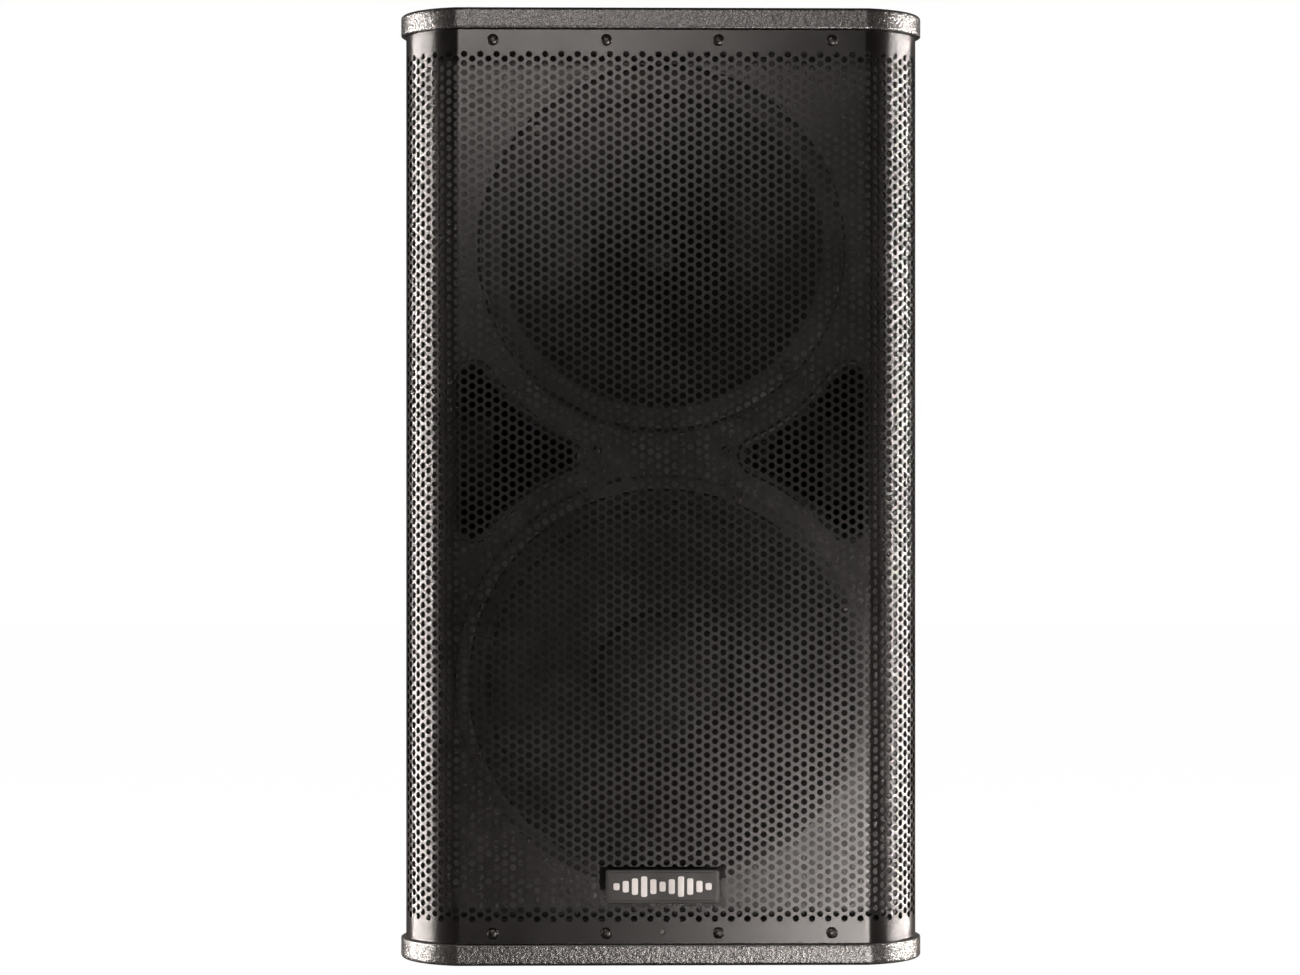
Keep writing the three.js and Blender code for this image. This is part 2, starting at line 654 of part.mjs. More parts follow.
// A dome with its coil former hanging from the rim into the magnet's gap.
function driverDiaphragm() {
  const rim = DRIVER_PLATE_BACK + 1.2;
  const [thick, rise] = [0.5, 7];
  const domePoint = (t, lift) => [DOME_RADIUS * Math.cos(t), rim + rise * Math.sin(t) + lift];
  const angles = [0, 1, 2].map((step) => (step * Math.PI) / 4);
  const outer = angles.map((t) => domePoint(t, thick)).slice(1);
  const inner = angles.map((t) => domePoint(t, 0)).slice(1).reverse();
  outer[outer.length - 1][0] = 0;
  inner[0][0] = 0;
  const profile = [
    ...inner, [DOME_RADIUS - 0.1, rim + 0.4], [DOME_RADIUS - 0.1, rim - 8], [DOME_RADIUS + 0.7, rim - 8],
    [DOME_RADIUS + 0.7, rim], [DOME_RADIUS + 7, rim], [DOME_RADIUS + 7, rim + thick],
    [DOME_RADIUS + 0.7, rim + thick], ...outer,
  ];
  return turned(profile, WAVEGUIDE_HEIGHT, 20);
}

function driverCover() {
  const back = DRIVER_COVER_FRONT + 22;
  const profile = [
    [0, back - 3], [38, back - 3], [48, back - 8], [48, DRIVER_COVER_FRONT], [54, DRIVER_COVER_FRONT],
    [54, back - 9], [50, back - 3], [42, back], [0, back],
  ];
  return turned(profile, WAVEGUIDE_HEIGHT, 20);
}

const driverMagnet = ring(30, 60, MAGNET_FRONT, MAGNET_BACK, WAVEGUIDE_HEIGHT, 20);
const driverRing = ring(DOME_RADIUS + 2.2, DRIVER_RADIUS, MAGNET_BACK + GAP, DRIVER_PLATE_BACK, WAVEGUIDE_HEIGHT, 20);
place('waveguide', waveguide(), PLASTIC);
place('driver_front_plate', driverFrontPlate(), STEEL);
place('driver_magnet', driverMagnet, FERRITE);
place('driver_rear_plate', driverRing, STEEL);
place('driver_diaphragm', driverDiaphragm(), TITANIUM);
place('driver_cover', driverCover(), PLASTIC);

// ---------------------------------------------------------------- woofer

const FRAME_FRONT = BAFFLE_FRONT - GAP - WOOFER_FLANGE;
const LEDGE = FRAME_FRONT + 3; // where the surround sits
const SPIDER_LEDGE = BAFFLE_FRONT + 74;
const FRAME_BACK = BAFFLE_FRONT + 90;
const PLATE_FRONT = FRAME_BACK + GAP;
const PLATE_BACK = PLATE_FRONT + 8;
const FERRITE_BACK = PLATE_BACK + GAP + 20;
const YOKE_BACK = FERRITE_BACK + GAP + 10;
const CONE_FRONT = LEDGE - GAP; // the cone's flat rim, level with the surround
const NECK_Y = BAFFLE_FRONT + 64;

function wooferFrame() {
  const profile = [
    [WOOFER_RADIUS, FRAME_FRONT + 1], [WOOFER_RADIUS, BAFFLE_FRONT - GAP],
    [WOOFER_HOLE_RADIUS - 0.6, BAFFLE_FRONT - GAP], [WOOFER_HOLE_RADIUS - 0.6, BAFFLE_FRONT + 21],
    [90, SPIDER_LEDGE + 1], [84, FRAME_BACK - 8], [84, FRAME_BACK], [42, FRAME_BACK],
    [42, FRAME_BACK - 4], [76, FRAME_BACK - 4], [76, SPIDER_LEDGE], [84, SPIDER_LEDGE],
    [137, BAFFLE_FRONT + 16], [137, LEDGE], [146, LEDGE], [146, FRAME_FRONT],
    [WOOFER_RADIUS - 1, FRAME_FRONT],
  ];
  const blank = turned(profile, WOOFER_HEIGHT, 30);
  const windows = [];
  for (let spoke = 0; spoke < 6; spoke += 1) {
    const window = block([-34, BAFFLE_FRONT + 26, 60], [34, SPIDER_LEDGE - 5, 200]);
    window.rotateY((spoke * Math.PI) / 3).translate(0, 0, WOOFER_HEIGHT);
    windows.push(window);
  }
  return cut(blank, ...windows);
}

function wooferYoke() {
  const pole = COIL_RADIUS - 2;
  const front = FERRITE_BACK + GAP;
  const profile = [
    [10, PLATE_FRONT], [pole, PLATE_FRONT], [pole, front], [77, front],
    [77, YOKE_BACK], [10, YOKE_BACK],
  ];
  return turned(profile, WOOFER_HEIGHT, 24);
}

// The cone's rear surface, from its neck to the flat rim.
function coneY(radius) {
  const t = (radius - COIL_RADIUS) / (CONE_RADIUS - 6 - COIL_RADIUS);
  return NECK_Y + (CONE_FRONT + 1.2 - NECK_Y) * (0.86 * t + 0.14 * t ** 2);
}

function cone() {
  const radii = [COIL_RADIUS + 1.2, 65, 92, CONE_RADIUS - 6];
  const rear = radii.map((radius) => [radius, coneY(radius)]);
  const front = radii.map((radius) => [radius, coneY(radius) - 1.5]).reverse();
  front[0] = [CONE_RADIUS - 6, CONE_FRONT];
  const rim = [[CONE_RADIUS, CONE_FRONT + 1.2], [CONE_RADIUS, CONE_FRONT]];
  return turned([...rear, ...rim, ...front], WOOFER_HEIGHT, 32);
}

function dustCap() {
  const base = coneY(DUST_CAP_RADIUS) - 1.5 - 2 * GAP;
  const [rise, thick] = [15, 1];
  const dome = (share, lift) => {
    const angle = (share * Math.PI) / 2;
    return [DUST_CAP_RADIUS * Math.cos(angle), base - rise * Math.sin(angle) - lift];
  };
  const shares = [0, 0.33, 0.66, 1];
  const outside = shares.map((share) => dome(share, thick));
  const inside = shares.map((share) => dome(share, 0)).reverse();
  outside[outside.length - 1][0] = 0;
  inside[0][0] = 0;
  return turned([...inside, ...outside], WOOFER_HEIGHT, 24);
}

function voiceCoil() {
  const [front, back] = [NECK_Y - 4, PLATE_BACK + 8];
  const [windFront, windBack] = [PLATE_FRONT - 3, PLATE_BACK + 3];
  const profile = [
    [COIL_RADIUS - 0.8, front], [COIL_RADIUS, front], [COIL_RADIUS, windFront],
    [COIL_RADIUS + 0.9, windFront], [COIL_RADIUS + 0.9, windBack], [COIL_RADIUS, windBack],
    [COIL_RADIUS, back], [COIL_RADIUS - 0.8, back],
  ];
  return turned(profile, WOOFER_HEIGHT, 24);
}

// A thin ring between two radii whose depth waves along its width.
function wavyRing(inner, outer, depth, wave, bumps, thick) {
  const steps = bumps * 2;
  const front = [];
  for (let step = 0; step <= steps; step += 1) {
    const share = step / steps;
    const bump = Math.abs(Math.sin(share * bumps * Math.PI));
    front.push([inner + (outer - inner) * share, depth - wave * bump]);
  }
  return front.concat(front.map(([radius, y]) => [radius, y + thick]).reverse());
}

function surround() {
  const top = CONE_FRONT - GAP - 0.8;
  const rolls = wavyRing(CONE_RADIUS, 138, top, 3, 2, 0.8);
  const outer = [[144.5, top], [144.5, top + 0.8]];
  const inner = [[CONE_RADIUS - 5, top + 0.8], [CONE_RADIUS - 5, top]];
  const half = rolls.length / 2;
  const profile = [...rolls.slice(0, half), ...outer, ...rolls.slice(half), ...inner];
  return turned(profile, WOOFER_HEIGHT, 24);
}

function spider() {
  const depth = SPIDER_LEDGE - GAP - 0.8;
  const profile = wavyRing(COIL_RADIUS + 0.4, 83, depth, 2.4, 3, 0.8);
  return turned(profile, WOOFER_HEIGHT, 24);
}

const wooferTopPlate = ring(COIL_RADIUS + 2, 77, PLATE_FRONT, PLATE_BACK, WOOFER_HEIGHT, 24);
const wooferMagnet = ring(COIL_RADIUS + 6, 82, PLATE_BACK + GAP, FERRITE_BACK, WOOFER_HEIGHT, 24);
place('woofer_frame', wooferFrame(), CAST_FRAME);
place('woofer_top_plate', wooferTopPlate, STEEL);
place('woofer_magnet', wooferMagnet, FERRITE);
place('woofer_back_plate', wooferYoke(), STEEL);
place('woofer_cone', cone(), CONE_PAPER);
place('dust_cap', dustCap(), CONE_PAPER);
place('voice_coil', voiceCoil(), COPPER);
place('surround', surround(), CLOTH);
place('spider', spider(), CLOTH);

// ---------------------------------------------------------------- ports

function portDuct() {
  const lip = portSolid(PORT_LIP, BAFFLE_FRONT - GAP - 3, 3);
  const tube = portSolid(PORT_WALL, BAFFLE_FRONT - GAP - 1, PORT_DEPTH);
  const bore = portSolid(0, BAFFLE_FRONT - 10, PORT_DEPTH + 20);
  return cut(join(lip, tube), bore);
}

place('port_duct_right', portDuct(), PLASTIC);
place('port_duct_left', flipX(portDuct()), PLASTIC);

// ---------------------------------------------------------------- side handles

function handleCup() {
  const [length, tall] = HANDLE_POCKET;
  const wall = 2 * HANDLE_WALL;
  const flange = sideSolid(roundedRectangle([length + 2 * HANDLE_FLANGE, tall + 2 * HANDLE_FLANGE], 26), GAP, 3 + GAP);
  const body = sideSolid(roundedRectangle([length + wall, tall + wall], 15), -HANDLE_DEPTH - HANDLE_WALL, 2);
  const pocket = sideSolid(roundedRectangle([length, tall], 12), -HANDLE_DEPTH, 10);
  return cut(join(flange, body), pocket);
}

function handleBar() {
  const half = HANDLE_POCKET[0] / 2 - GAP;
  const profile = [[0, -half], [11, -half], [12, -half + 12], [12, half - 12], [11, half], [0, half]];
  return turned(profile, 0, 12);
}

for (const [side, sign] of [['left', -1], ['right', 1]]) {
  const group = sideGroup(sign);
  place(`handle_cup_${side}`, handleCup(), PLASTIC, group);
  const bar = place(`handle_bar_${side}`, handleBar(), RUBBER, group);
  bar.position.set(...HANDLE_BAR_SPOT);
  cabinet.add(group);
}

// ---------------------------------------------------------------- pole socket, feet and rigging plugs

function poleSocket() {
  const low = FOOT_STAND + GAP;
  const outside = POLE_RADIUS + POLE_WALL;
  const top = low + POLE_DEPTH;
  const profile = [
    [0, top - 4], [POLE_RADIUS, top - 4], [POLE_RADIUS, low], [POLE_FLANGE_RADIUS, low],
    [POLE_FLANGE_RADIUS, low + POLE_WALL], [outside, low + POLE_WALL], [outside, top], [0, top],
  ];
  return turned(profile, 0, 24).rotateX(Math.PI / 2).translate(0, POLE_Y, 0);
}

function foot() {
  const profile = [
    [0, 0], [FOOT_RADIUS - 1.5, 0], [FOOT_RADIUS, 1.2], [FOOT_RADIUS, FOOT_HEIGHT], [0, FOOT_HEIGHT],
  ];
  return turned(profile, 0, 14).rotateX(Math.PI / 2);
}

// A countersunk blanking screw: the head's flat face is at the origin and faces +Z.
function riggingPlug() {
  const profile = [
    [0, 0], [RIG_HEAD, 0], [RIG_HEAD, -1.2], [RIG_RADIUS, -5.4], [RIG_RADIUS, -24], [0, -24],
  ];
  const hexagon = new THREE.CylinderGeometry(3.5, 3.5, 8, 6);
  return cut(turned(profile, 0, 16), hexagon).rotateX(Math.PI / 2);
}

place('pole_socket', poleSocket(), CAST_CAP);
FOOT_SPOTS.flatMap(bothSides).forEach(([x, y], index) => {
  place(`foot_${index + 1}`, foot(), RUBBER).position.set(x, y, 0);
});
bothSides(RIG_TOP).forEach(([x, y], index) => {
  place(`rigging_plug_top_${index + 1}`, riggingPlug(), STEEL).position.set(x, y, HEIGHT - GAP);
});
bothSides(RIG_BOTTOM).forEach(([x, y], index) => {
  const plug = place(`rigging_plug_bottom_${index + 1}`, riggingPlug(), STEEL);
  plug.rotation.x = Math.PI;
  plug.position.set(x, y, FOOT_STAND + GAP);
});
const rearPlug = place('rigging_plug_rear', riggingPlug(), STEEL);
rearPlug.rotation.x = -Math.PI / 2;
rearPlug.position.set(0, REAR - GAP, RIG_REAR_HEIGHT);

// ---------------------------------------------------------------- input plate and selector

const DISH_FLOOR = REAR - INPUT_DEPTH;
const FLOOR_THICK = 3;

function inputPlate() {
  const at = [0, INPUT_HEIGHT];
  const wall = 3;
  const plate = faceSolid(roundedRectangle(INPUT_PLATE, 14, at), REAR + GAP, 3);
  const body = faceSolid(roundedRectangle([INPUT_DISH[0] + 2 * wall, INPUT_DISH[1] + 2 * wall], 9, at),
    DISH_FLOOR - FLOOR_THICK, INPUT_DEPTH + FLOOR_THICK + 1);
  const dish = faceSolid(roundedRectangle(INPUT_DISH, 6, at), DISH_FLOOR, INPUT_DEPTH + 10);
  const holes = [-SOCKET_X, SOCKET_X].map(
    (x) => rodAlongY(SOCKET_RADIUS + GAP, DISH_FLOOR - 10, DISH_FLOOR + 1, x, INPUT_HEIGHT, 16));
  const shaft = rodAlongY(3 + GAP, DISH_FLOOR - 10, DISH_FLOOR + 1, 0, INPUT_HEIGHT, 16);
  return cut(join(plate, body), dish, ...holes, shaft);
}

// A four-pole panel socket: a square flange, a round well with a keyed core, and a body behind.
function speakerSocket() {
  const face = DISH_FLOOR + GAP + 4;
  const flange = faceSolid(roundedRectangle([32, 32], 3), DISH_FLOOR + GAP, 4);
  const body = rodAlongY(SOCKET_RADIUS, DISH_FLOOR - 22, face - 1, 0, 0, 16);
  const well = turned([[6, face - 20], [11.5, face - 20], [11.5, face + 1], [6, face + 1]], 0, 16);
  const keyway = block([-2, face - 16, 9], [2, face + 1, 12.6]);
  return cut(join(flange, body), join(well, keyway));
}

function modeKnob() {
  const base = DISH_FLOOR + 0.6;
  const grip = turned([[0, base], [11, base], [11, base + 3], [9.5, base + 12], [0, base + 12]], 0, 16);
  const pointer = block([-1.6, base + 3, 0], [1.6, base + 14, 10]);
  const shaft = rodAlongY(3, DISH_FLOOR - 9, base + 1, 0, 0, 16);
  return join(grip, pointer, shaft);
}

place('input_plate', inputPlate(), CAST_CAP);
place('speaker_socket_1', speakerSocket(), PLASTIC).position.set(SOCKET_X, 0, INPUT_HEIGHT);
place('speaker_socket_2', speakerSocket(), PLASTIC).position.set(-SOCKET_X, 0, INPUT_HEIGHT);
place('mode_knob', modeKnob(), PLASTIC).position.set(0, 0, INPUT_HEIGHT);

// ---------------------------------------------------------------- crossover and wadding

const BOARD_BOTTOM = INSIDE_BOTTOM + BOARD_LIFT;
const BOARD_TOP = BOARD_BOTTOM + 1.6;

function crossoverBoard() {
  const [low, high] = [[-85, 45, BOARD_BOTTOM], [85, 145, BOARD_TOP]];
  const posts = [[-78, 52], [78, 52], [-78, 138], [78, 138]].map(
    ([x, y]) => rodAlongZ(3.5, INSIDE_BOTTOM + GAP, BOARD_BOTTOM + 0.8, x, y, 10));
  return join(block(low, high), ...posts);
}

function inductor(outer, inner, tall) {
  const low = BOARD_TOP + GAP;
  return turned([[inner, low], [outer, low], [outer, low + tall], [inner, low + tall]], 0, 24)
    .rotateX(Math.PI / 2);
}

function capacitor(radius, length) {
  const half = length / 2;
  const profile = [[0, -half], [radius - 1.5, -half], [radius, -half + 2], [radius, half - 2],
    [radius - 1.5, half], [0, half]];
  return turned(profile, BOARD_TOP + GAP + radius, 16);
}

place('crossover_board', crossoverBoard(), BOARD);
place('crossover_coil_1', inductor(27, 11, 24), COPPER).position.set(-50, 95, 0);
place('crossover_coil_2', inductor(20, 8, 18), COPPER).position.set(8, 70, 0);
place('crossover_capacitor_1', capacitor(14, 46), CAPACITOR).position.set(55, 95, 0);
place('crossover_capacitor_2', capacitor(9, 34), CAPACITOR).position.set(14, 120, 0);

const wool = faceSolid(
  roundedRectangle(WADDING_SIZE, 20, [0, WADDING_HEIGHT]), REAR - PLY - WADDING_THICK - 2, WADDING_THICK);
place('wadding_pad', wool, WADDING);

export default cabinet;
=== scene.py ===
"""Looks of a two-way PA loudspeaker cabinet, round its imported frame. Metres, +Z up, front towards -Y."""
import math

import bmesh
import bpy
from mathutils import Matrix, Vector, noise
from mathutils.geometry import delaunay_2d_cdt
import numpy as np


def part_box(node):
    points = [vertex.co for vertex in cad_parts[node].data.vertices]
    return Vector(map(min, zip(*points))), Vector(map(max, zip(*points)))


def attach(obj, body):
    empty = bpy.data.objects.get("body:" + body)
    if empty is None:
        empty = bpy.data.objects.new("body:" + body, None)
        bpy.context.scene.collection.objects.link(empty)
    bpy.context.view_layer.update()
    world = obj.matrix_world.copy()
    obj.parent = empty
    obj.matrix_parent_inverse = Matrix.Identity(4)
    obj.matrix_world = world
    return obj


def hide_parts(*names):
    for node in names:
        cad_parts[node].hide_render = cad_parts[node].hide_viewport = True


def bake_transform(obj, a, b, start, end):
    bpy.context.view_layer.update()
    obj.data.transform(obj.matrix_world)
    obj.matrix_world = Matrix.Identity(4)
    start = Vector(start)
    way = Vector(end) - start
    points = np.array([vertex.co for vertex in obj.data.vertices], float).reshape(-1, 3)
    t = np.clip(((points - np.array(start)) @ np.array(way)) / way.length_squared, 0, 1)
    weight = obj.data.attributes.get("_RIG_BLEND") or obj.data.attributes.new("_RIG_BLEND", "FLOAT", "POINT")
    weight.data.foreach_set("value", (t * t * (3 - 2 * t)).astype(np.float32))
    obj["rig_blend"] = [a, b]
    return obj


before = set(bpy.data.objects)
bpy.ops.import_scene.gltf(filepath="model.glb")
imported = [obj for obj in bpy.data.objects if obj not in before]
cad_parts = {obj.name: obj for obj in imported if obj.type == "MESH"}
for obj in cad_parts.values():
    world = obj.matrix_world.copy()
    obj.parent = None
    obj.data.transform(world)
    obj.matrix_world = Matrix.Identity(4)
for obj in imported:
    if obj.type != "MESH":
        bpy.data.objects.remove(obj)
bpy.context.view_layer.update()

# ------------------------------------------------------------------ dimensions

MM = 0.001
GRILLE_LOW, GRILLE_HIGH = (Vector(corner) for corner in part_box("grille"))
FRONT = GRILLE_LOW.y
REAR = Vector(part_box("rear_panel")[1]).y
MID = (GRILLE_LOW.z + GRILLE_HIGH.z) / 2
BAFFLE_FRONT = Vector(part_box("baffle")[0]).y

# Plan outline, as in the frame: flat front, crease, large corner, tapering side, small rear corner.
FLAT_HALF = 152.8 * MM
CREASE_RADIUS = 10 * MM
CREASE_TURN = math.radians(17)
CORNER_RADIUS = 55 * MM
SIDE_HEADING = math.radians(100)
REAR_RADIUS = 14 * MM
SHEET = 1.5 * MM
BACKING = 2 * MM
PLY = 15 * MM

# Perforation: round holes on a staggered pitch, in columns up the sheet.
PITCH = 7 * MM
HOLE_RADIUS = 2.5 * MM
COLUMN_STEP = PITCH * math.cos(math.radians(30))
COLUMNS = 70
ROWS = 93
FIELD_TOP = 323.75 * MM  # the highest holes, above mid height
HOLE_SIDES = 12

SCREW_XS = [(low.x + high.x) / 2 for low, high in (
    [Vector(c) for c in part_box(f"grille_screw_top_{i}")] for i in range(1, 5))]
PIN_HOLE = (0.0, MID - 333.75 * MM)
PIN_HOLE_RADIUS = 2 * MM
BADGE_LOW, BADGE_HIGH = (Vector(corner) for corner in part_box("badge_plate"))
BADGE_CENTRE = (0.0, (BADGE_LOW.z + BADGE_HIGH.z) / 2)
WINDOW_HALF = (47 * MM, 14.8 * MM)


# ------------------------------------------------------------------ plan outline

def outward(heading):
    """Outwards from the outline where it travels at a heading: 0 along +X, 90 degrees straight back."""
    return Vector((math.sin(heading), -math.cos(heading)))


def ahead(heading):
    return Vector((math.cos(heading), math.sin(heading)))


CREASE_CENTRE = Vector((FLAT_HALF, FRONT + CREASE_RADIUS))
CORNER_CENTRE = CREASE_CENTRE + outward(CREASE_TURN) * (CREASE_RADIUS - CORNER_RADIUS)
SIDE_START = CORNER_CENTRE + outward(SIDE_HEADING) * CORNER_RADIUS


def side_point(y, offset=0.0):
    start = SIDE_START + outward(SIDE_HEADING) * offset
    return start + ahead(SIDE_HEADING) * ((y - start.y) / ahead(SIDE_HEADING).y)


REAR_CENTRE = side_point(REAR - REAR_RADIUS, -REAR_RADIUS)


def arc(centre, radius, first, last, steps):
    return [centre + outward(first + (last - first) * i / steps) * radius for i in range(steps + 1)]


def mirrored(points):
    return [Vector((-p.x, p.y)) for p in reversed(points)]


def sheet_point(s, z, depth):
    """A point of the wrap-round sheet: s along its outer face from the middle, depth into the sheet."""
    run = abs(s)
    crease_end = FLAT_HALF + CREASE_RADIUS * CREASE_TURN
    if run <= FLAT_HALF:
        spot, heading = Vector((run, FRONT)), 0.0
    elif run <= crease_end:
        heading = (run - FLAT_HALF) / CREASE_RADIUS
        spot = CREASE_CENTRE + outward(heading) * CREASE_RADIUS
    else:
        heading = CREASE_TURN + (run - crease_end) / CORNER_RADIUS
        spot = CORNER_CENTRE + outward(heading) * CORNER_RADIUS
    spot -= outward(heading) * depth
    return (math.copysign(spot.x, s), spot.y, z)


SHEET_HALF = FLAT_HALF + CREASE_RADIUS * CREASE_TURN + CORNER_RADIUS * (math.pi / 2 - CREASE_TURN)


# ------------------------------------------------------------------ mesh helpers

SHARP_ANGLE = 35  # degrees: an edge that turns more than this stays sharp


def face_outwards(mesh, merge=0.0):
    """Turns a mesh's faces outwards, first joining points that lie together where asked."""
    made = bmesh.new()
    made.from_mesh(mesh)
    if merge:
        bmesh.ops.remove_doubles(made, verts=made.verts, dist=merge)
    bmesh.ops.recalc_face_normals(made, faces=made.faces)
    made.to_mesh(mesh)
    made.free()


def new_mesh(name, points, faces, mend=False):
    mesh = bpy.data.meshes.new(name)
    mesh.from_pydata([tuple(p) for p in points], [], faces)
    if mend:
        mesh.validate()
    face_outwards(mesh)
    return mesh


def shade_smooth(mesh, sharp=SHARP_ANGLE):
    mesh.polygons.foreach_set("use_smooth", [True] * len(mesh.polygons))
    mesh.set_sharp_from_angle(angle=math.radians(sharp))


def linked(name, data):
    made = bpy.data.objects.new(name, data)
    bpy.context.scene.collection.objects.link(made)
    return made


def finish_object(name, mesh, material, body="cabinet"):
    shade_smooth(mesh)
    mesh.materials.append(material)
    piece = linked(name, mesh)
    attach(piece, body)
    return piece


def new_object(name, points, faces, material, body="cabinet"):
    return finish_object(name, new_mesh(name, points, faces, mend=True), material, body)


def loft(rings, closed_ring=True, caps=True):
    """Points and faces of a surface through rings of equal length."""
    count = len(rings[0])
    points = [p for ring in rings for p in ring]
    faces = []
    for row in range(len(rings) - 1):
        for i in range(count if closed_ring else count - 1):
            a, b = row * count + i, row * count + (i + 1) % count
            faces.append((a, b, b + count, a + count))
    if caps:
        faces.append(tuple(range(count))[::-1])
        faces.append(tuple(range((len(rings) - 1) * count, len(rings) * count)))
    return points, faces


def lathe(profile, segments, centre, axis="Y"):
    """A closed profile of (radius, along) points in mm, turned about an axis through centre."""
    points, faces, rows = [], [], []
    for radius, along in profile:
        if radius < 1e-6:
            rows.append([len(points)] * segments)
            points.append(Vector((0, 0, along)) * MM)
            continue
        rows.append(list(range(len(points), len(points) + segments)))
        for i in range(segments):
            turn = 2 * math.pi * i / segments
            points.append(Vector((radius * math.cos(turn), radius * math.sin(turn), along)) * MM)
    pairs = list(zip(rows, rows[1:]))
    if profile[0][0] > 1e-6:
        pairs.append((rows[-1], rows[0]))
    for low, high in pairs:
        for i in range(segments):
            j = (i + 1) % segments
            corners = dict.fromkeys((low[i], low[j], high[j], high[i]))
            if len(corners) > 2:
                faces.append(tuple(corners))
    turn = {"Z": Matrix.Identity(3), "Y": Matrix.Rotation(-math.pi / 2, 3, "X"),
            "-Y": Matrix.Rotation(math.pi / 2, 3, "X"), "-Z": Matrix.Rotation(math.pi, 3, "X"),
            "X": Matrix.Rotation(math.pi / 2, 3, "Y")}[axis]
    return [turn @ p + Vector(centre) for p in points], faces


def lathe_object(name, profile, segments, centre, material, axis="Y", body="cabinet"):
    return new_object(name, *lathe(profile, segments, centre, axis), material, body)


def rounded_box_points(width, height, radius, steps=8):
    """A rounded rectangle about the origin, counter-clockwise."""
    loop = []
    for quarter, (sx, sy) in enumerate(((1, 1), (-1, 1), (-1, -1), (1, -1))):
        centre = Vector((sx * (width / 2 - radius), sy * (height / 2 - radius)))
        for i in range(steps + 1):
            turn = (quarter + i / steps) * math.pi / 2
            loop.append(centre + Vector((math.cos(turn), math.sin(turn))) * radius)
    return loop


def boolean(piece, cutter, operation="DIFFERENCE"):
    """Cuts or joins with the manifold solver, then removes the cutter."""
    step = piece.modifiers.new("cut", "BOOLEAN")
    step.object = cutter
    step.operation = operation
    step.solver = "MANIFOLD"
    bpy.context.view_layer.update()
    depsgraph = bpy.context.evaluated_depsgraph_get()
    result = bpy.data.meshes.new_from_object(piece.evaluated_get(depsgraph))
    piece.modifiers.clear()
    old = piece.data
    piece.data = result
    bpy.data.meshes.remove(old)
    bpy.data.objects.remove(cutter)
    shade_smooth(piece.data)
    return piece


def tool(points, faces):
    """A plain solid that only cuts or joins, and is gone before the scene is finished."""
    return linked("tool", new_mesh("tool", points, faces))


def cylinder_tool(radius, low, high, centre, axis="Y", segments=48):
    return tool(*lathe([(0, low), (radius, low), (radius, high), (0, high)], segments, centre, axis))


def drill(piece, *cylinder, **how):
    """Cuts a round hole, given as cylinder_tool takes it."""
    return boolean(piece, cylinder_tool(*cylinder, **how))


# ------------------------------------------------------------------ materials

def material(name, colour, roughness, metallic=0.0, **sockets):
    """A Principled material; returns the material and its shader node."""
    made = bpy.data.materials.new(name)
    made.use_nodes = True
    shader = made.node_tree.nodes["Principled BSDF"]
    shader.inputs["Base Color"].default_value = (*colour, 1)
    shader.inputs["Roughness"].default_value = roughness
    shader.inputs["Metallic"].default_value = metallic
    for socket, value in sockets.items():
        shader.inputs[socket.replace("_", " ")].default_value = value
    return made, shader


def grain(made, scale, detail, stretch=(1, 1, 1)):
    """A noise over object space, in cells per metre; without a detail it is pebbles."""
    nodes, links = made.node_tree.nodes, made.node_tree.links
    place = nodes.new("ShaderNodeTexCoord")
    mapping = nodes.new("ShaderNodeMapping")
    mapping.inputs["Scale"].default_value = stretch
    texture = nodes.new("ShaderNodeTexNoise" if detail else "ShaderNodeTexVoronoi")
    texture.inputs["Scale"].default_value = scale
    if detail:
        texture.inputs["Detail"].default_value = detail
    links.new(place.outputs["Object"], mapping.inputs["Vector"])
    links.new(mapping.outputs["Vector"], texture.inputs["Vector"])
    return texture.outputs[0]


def spread(made, source, low, high, taken=(0.35, 0.65)):
    """Maps the taken part of a value's range to another range."""
    step = made.node_tree.nodes.new("ShaderNodeMapRange")
    ends = {"From Min": taken[0], "From Max": taken[1], "To Min": low, "To Max": high}
    for socket, value in ends.items():
        step.inputs[socket].default_value = value
    made.node_tree.links.new(source, step.inputs["Value"])
    return step.outputs["Result"]


def tint(made, shader, source, dark, light):
    """Colours the base between two tones with a noise."""
    mix = made.node_tree.nodes.new("ShaderNodeMix")
    mix.data_type = "RGBA"
    mix.inputs["A"].default_value = (*dark, 1)
    mix.inputs["B"].default_value = (*light, 1)
    made.node_tree.links.new(source, mix.inputs["Factor"])
    made.node_tree.links.new(mix.outputs["Result"], shader.inputs["Base Color"])


def bump(made, shader, layers):
    """Chains bumps: each layer is (height, distance in metres)."""
    previous = None
    for height, distance in layers:
        step = made.node_tree.nodes.new("ShaderNodeBump")
        step.inputs["Distance"].default_value = distance
        step.inputs["Strength"].default_value = 1.0
        made.node_tree.links.new(height, step.inputs["Height"])
        if previous is not None:
            made.node_tree.links.new(previous, step.inputs["Normal"])
        previous = step.outputs["Normal"]
    made.node_tree.links.new(previous, shader.inputs["Normal"])


def coat(name, colour, roughness, tones, sheen=None, bumps=(), metallic=0.0, stretch=(1, 1, 1), **sockets):
    """A surface that varies a little. tones and sheen are (scale, detail, low, high), and bumps are
    (scale, detail, height in metres)."""
    made, shader = material(name, colour, roughness, metallic, **sockets)
    scale, detail, dark, light = tones
    tint(made, shader, spread(made, grain(made, scale, detail, stretch), 0, 1), dark, light)
    if sheen:
        scale, detail, low, high = sheen
        level = spread(made, grain(made, scale, detail, stretch), low, high)
        made.node_tree.links.new(level, shader.inputs["Roughness"])
    if bumps:
        bump(made, shader, [(grain(made, scale, detail), distance) for scale, detail, distance in bumps])
    return made


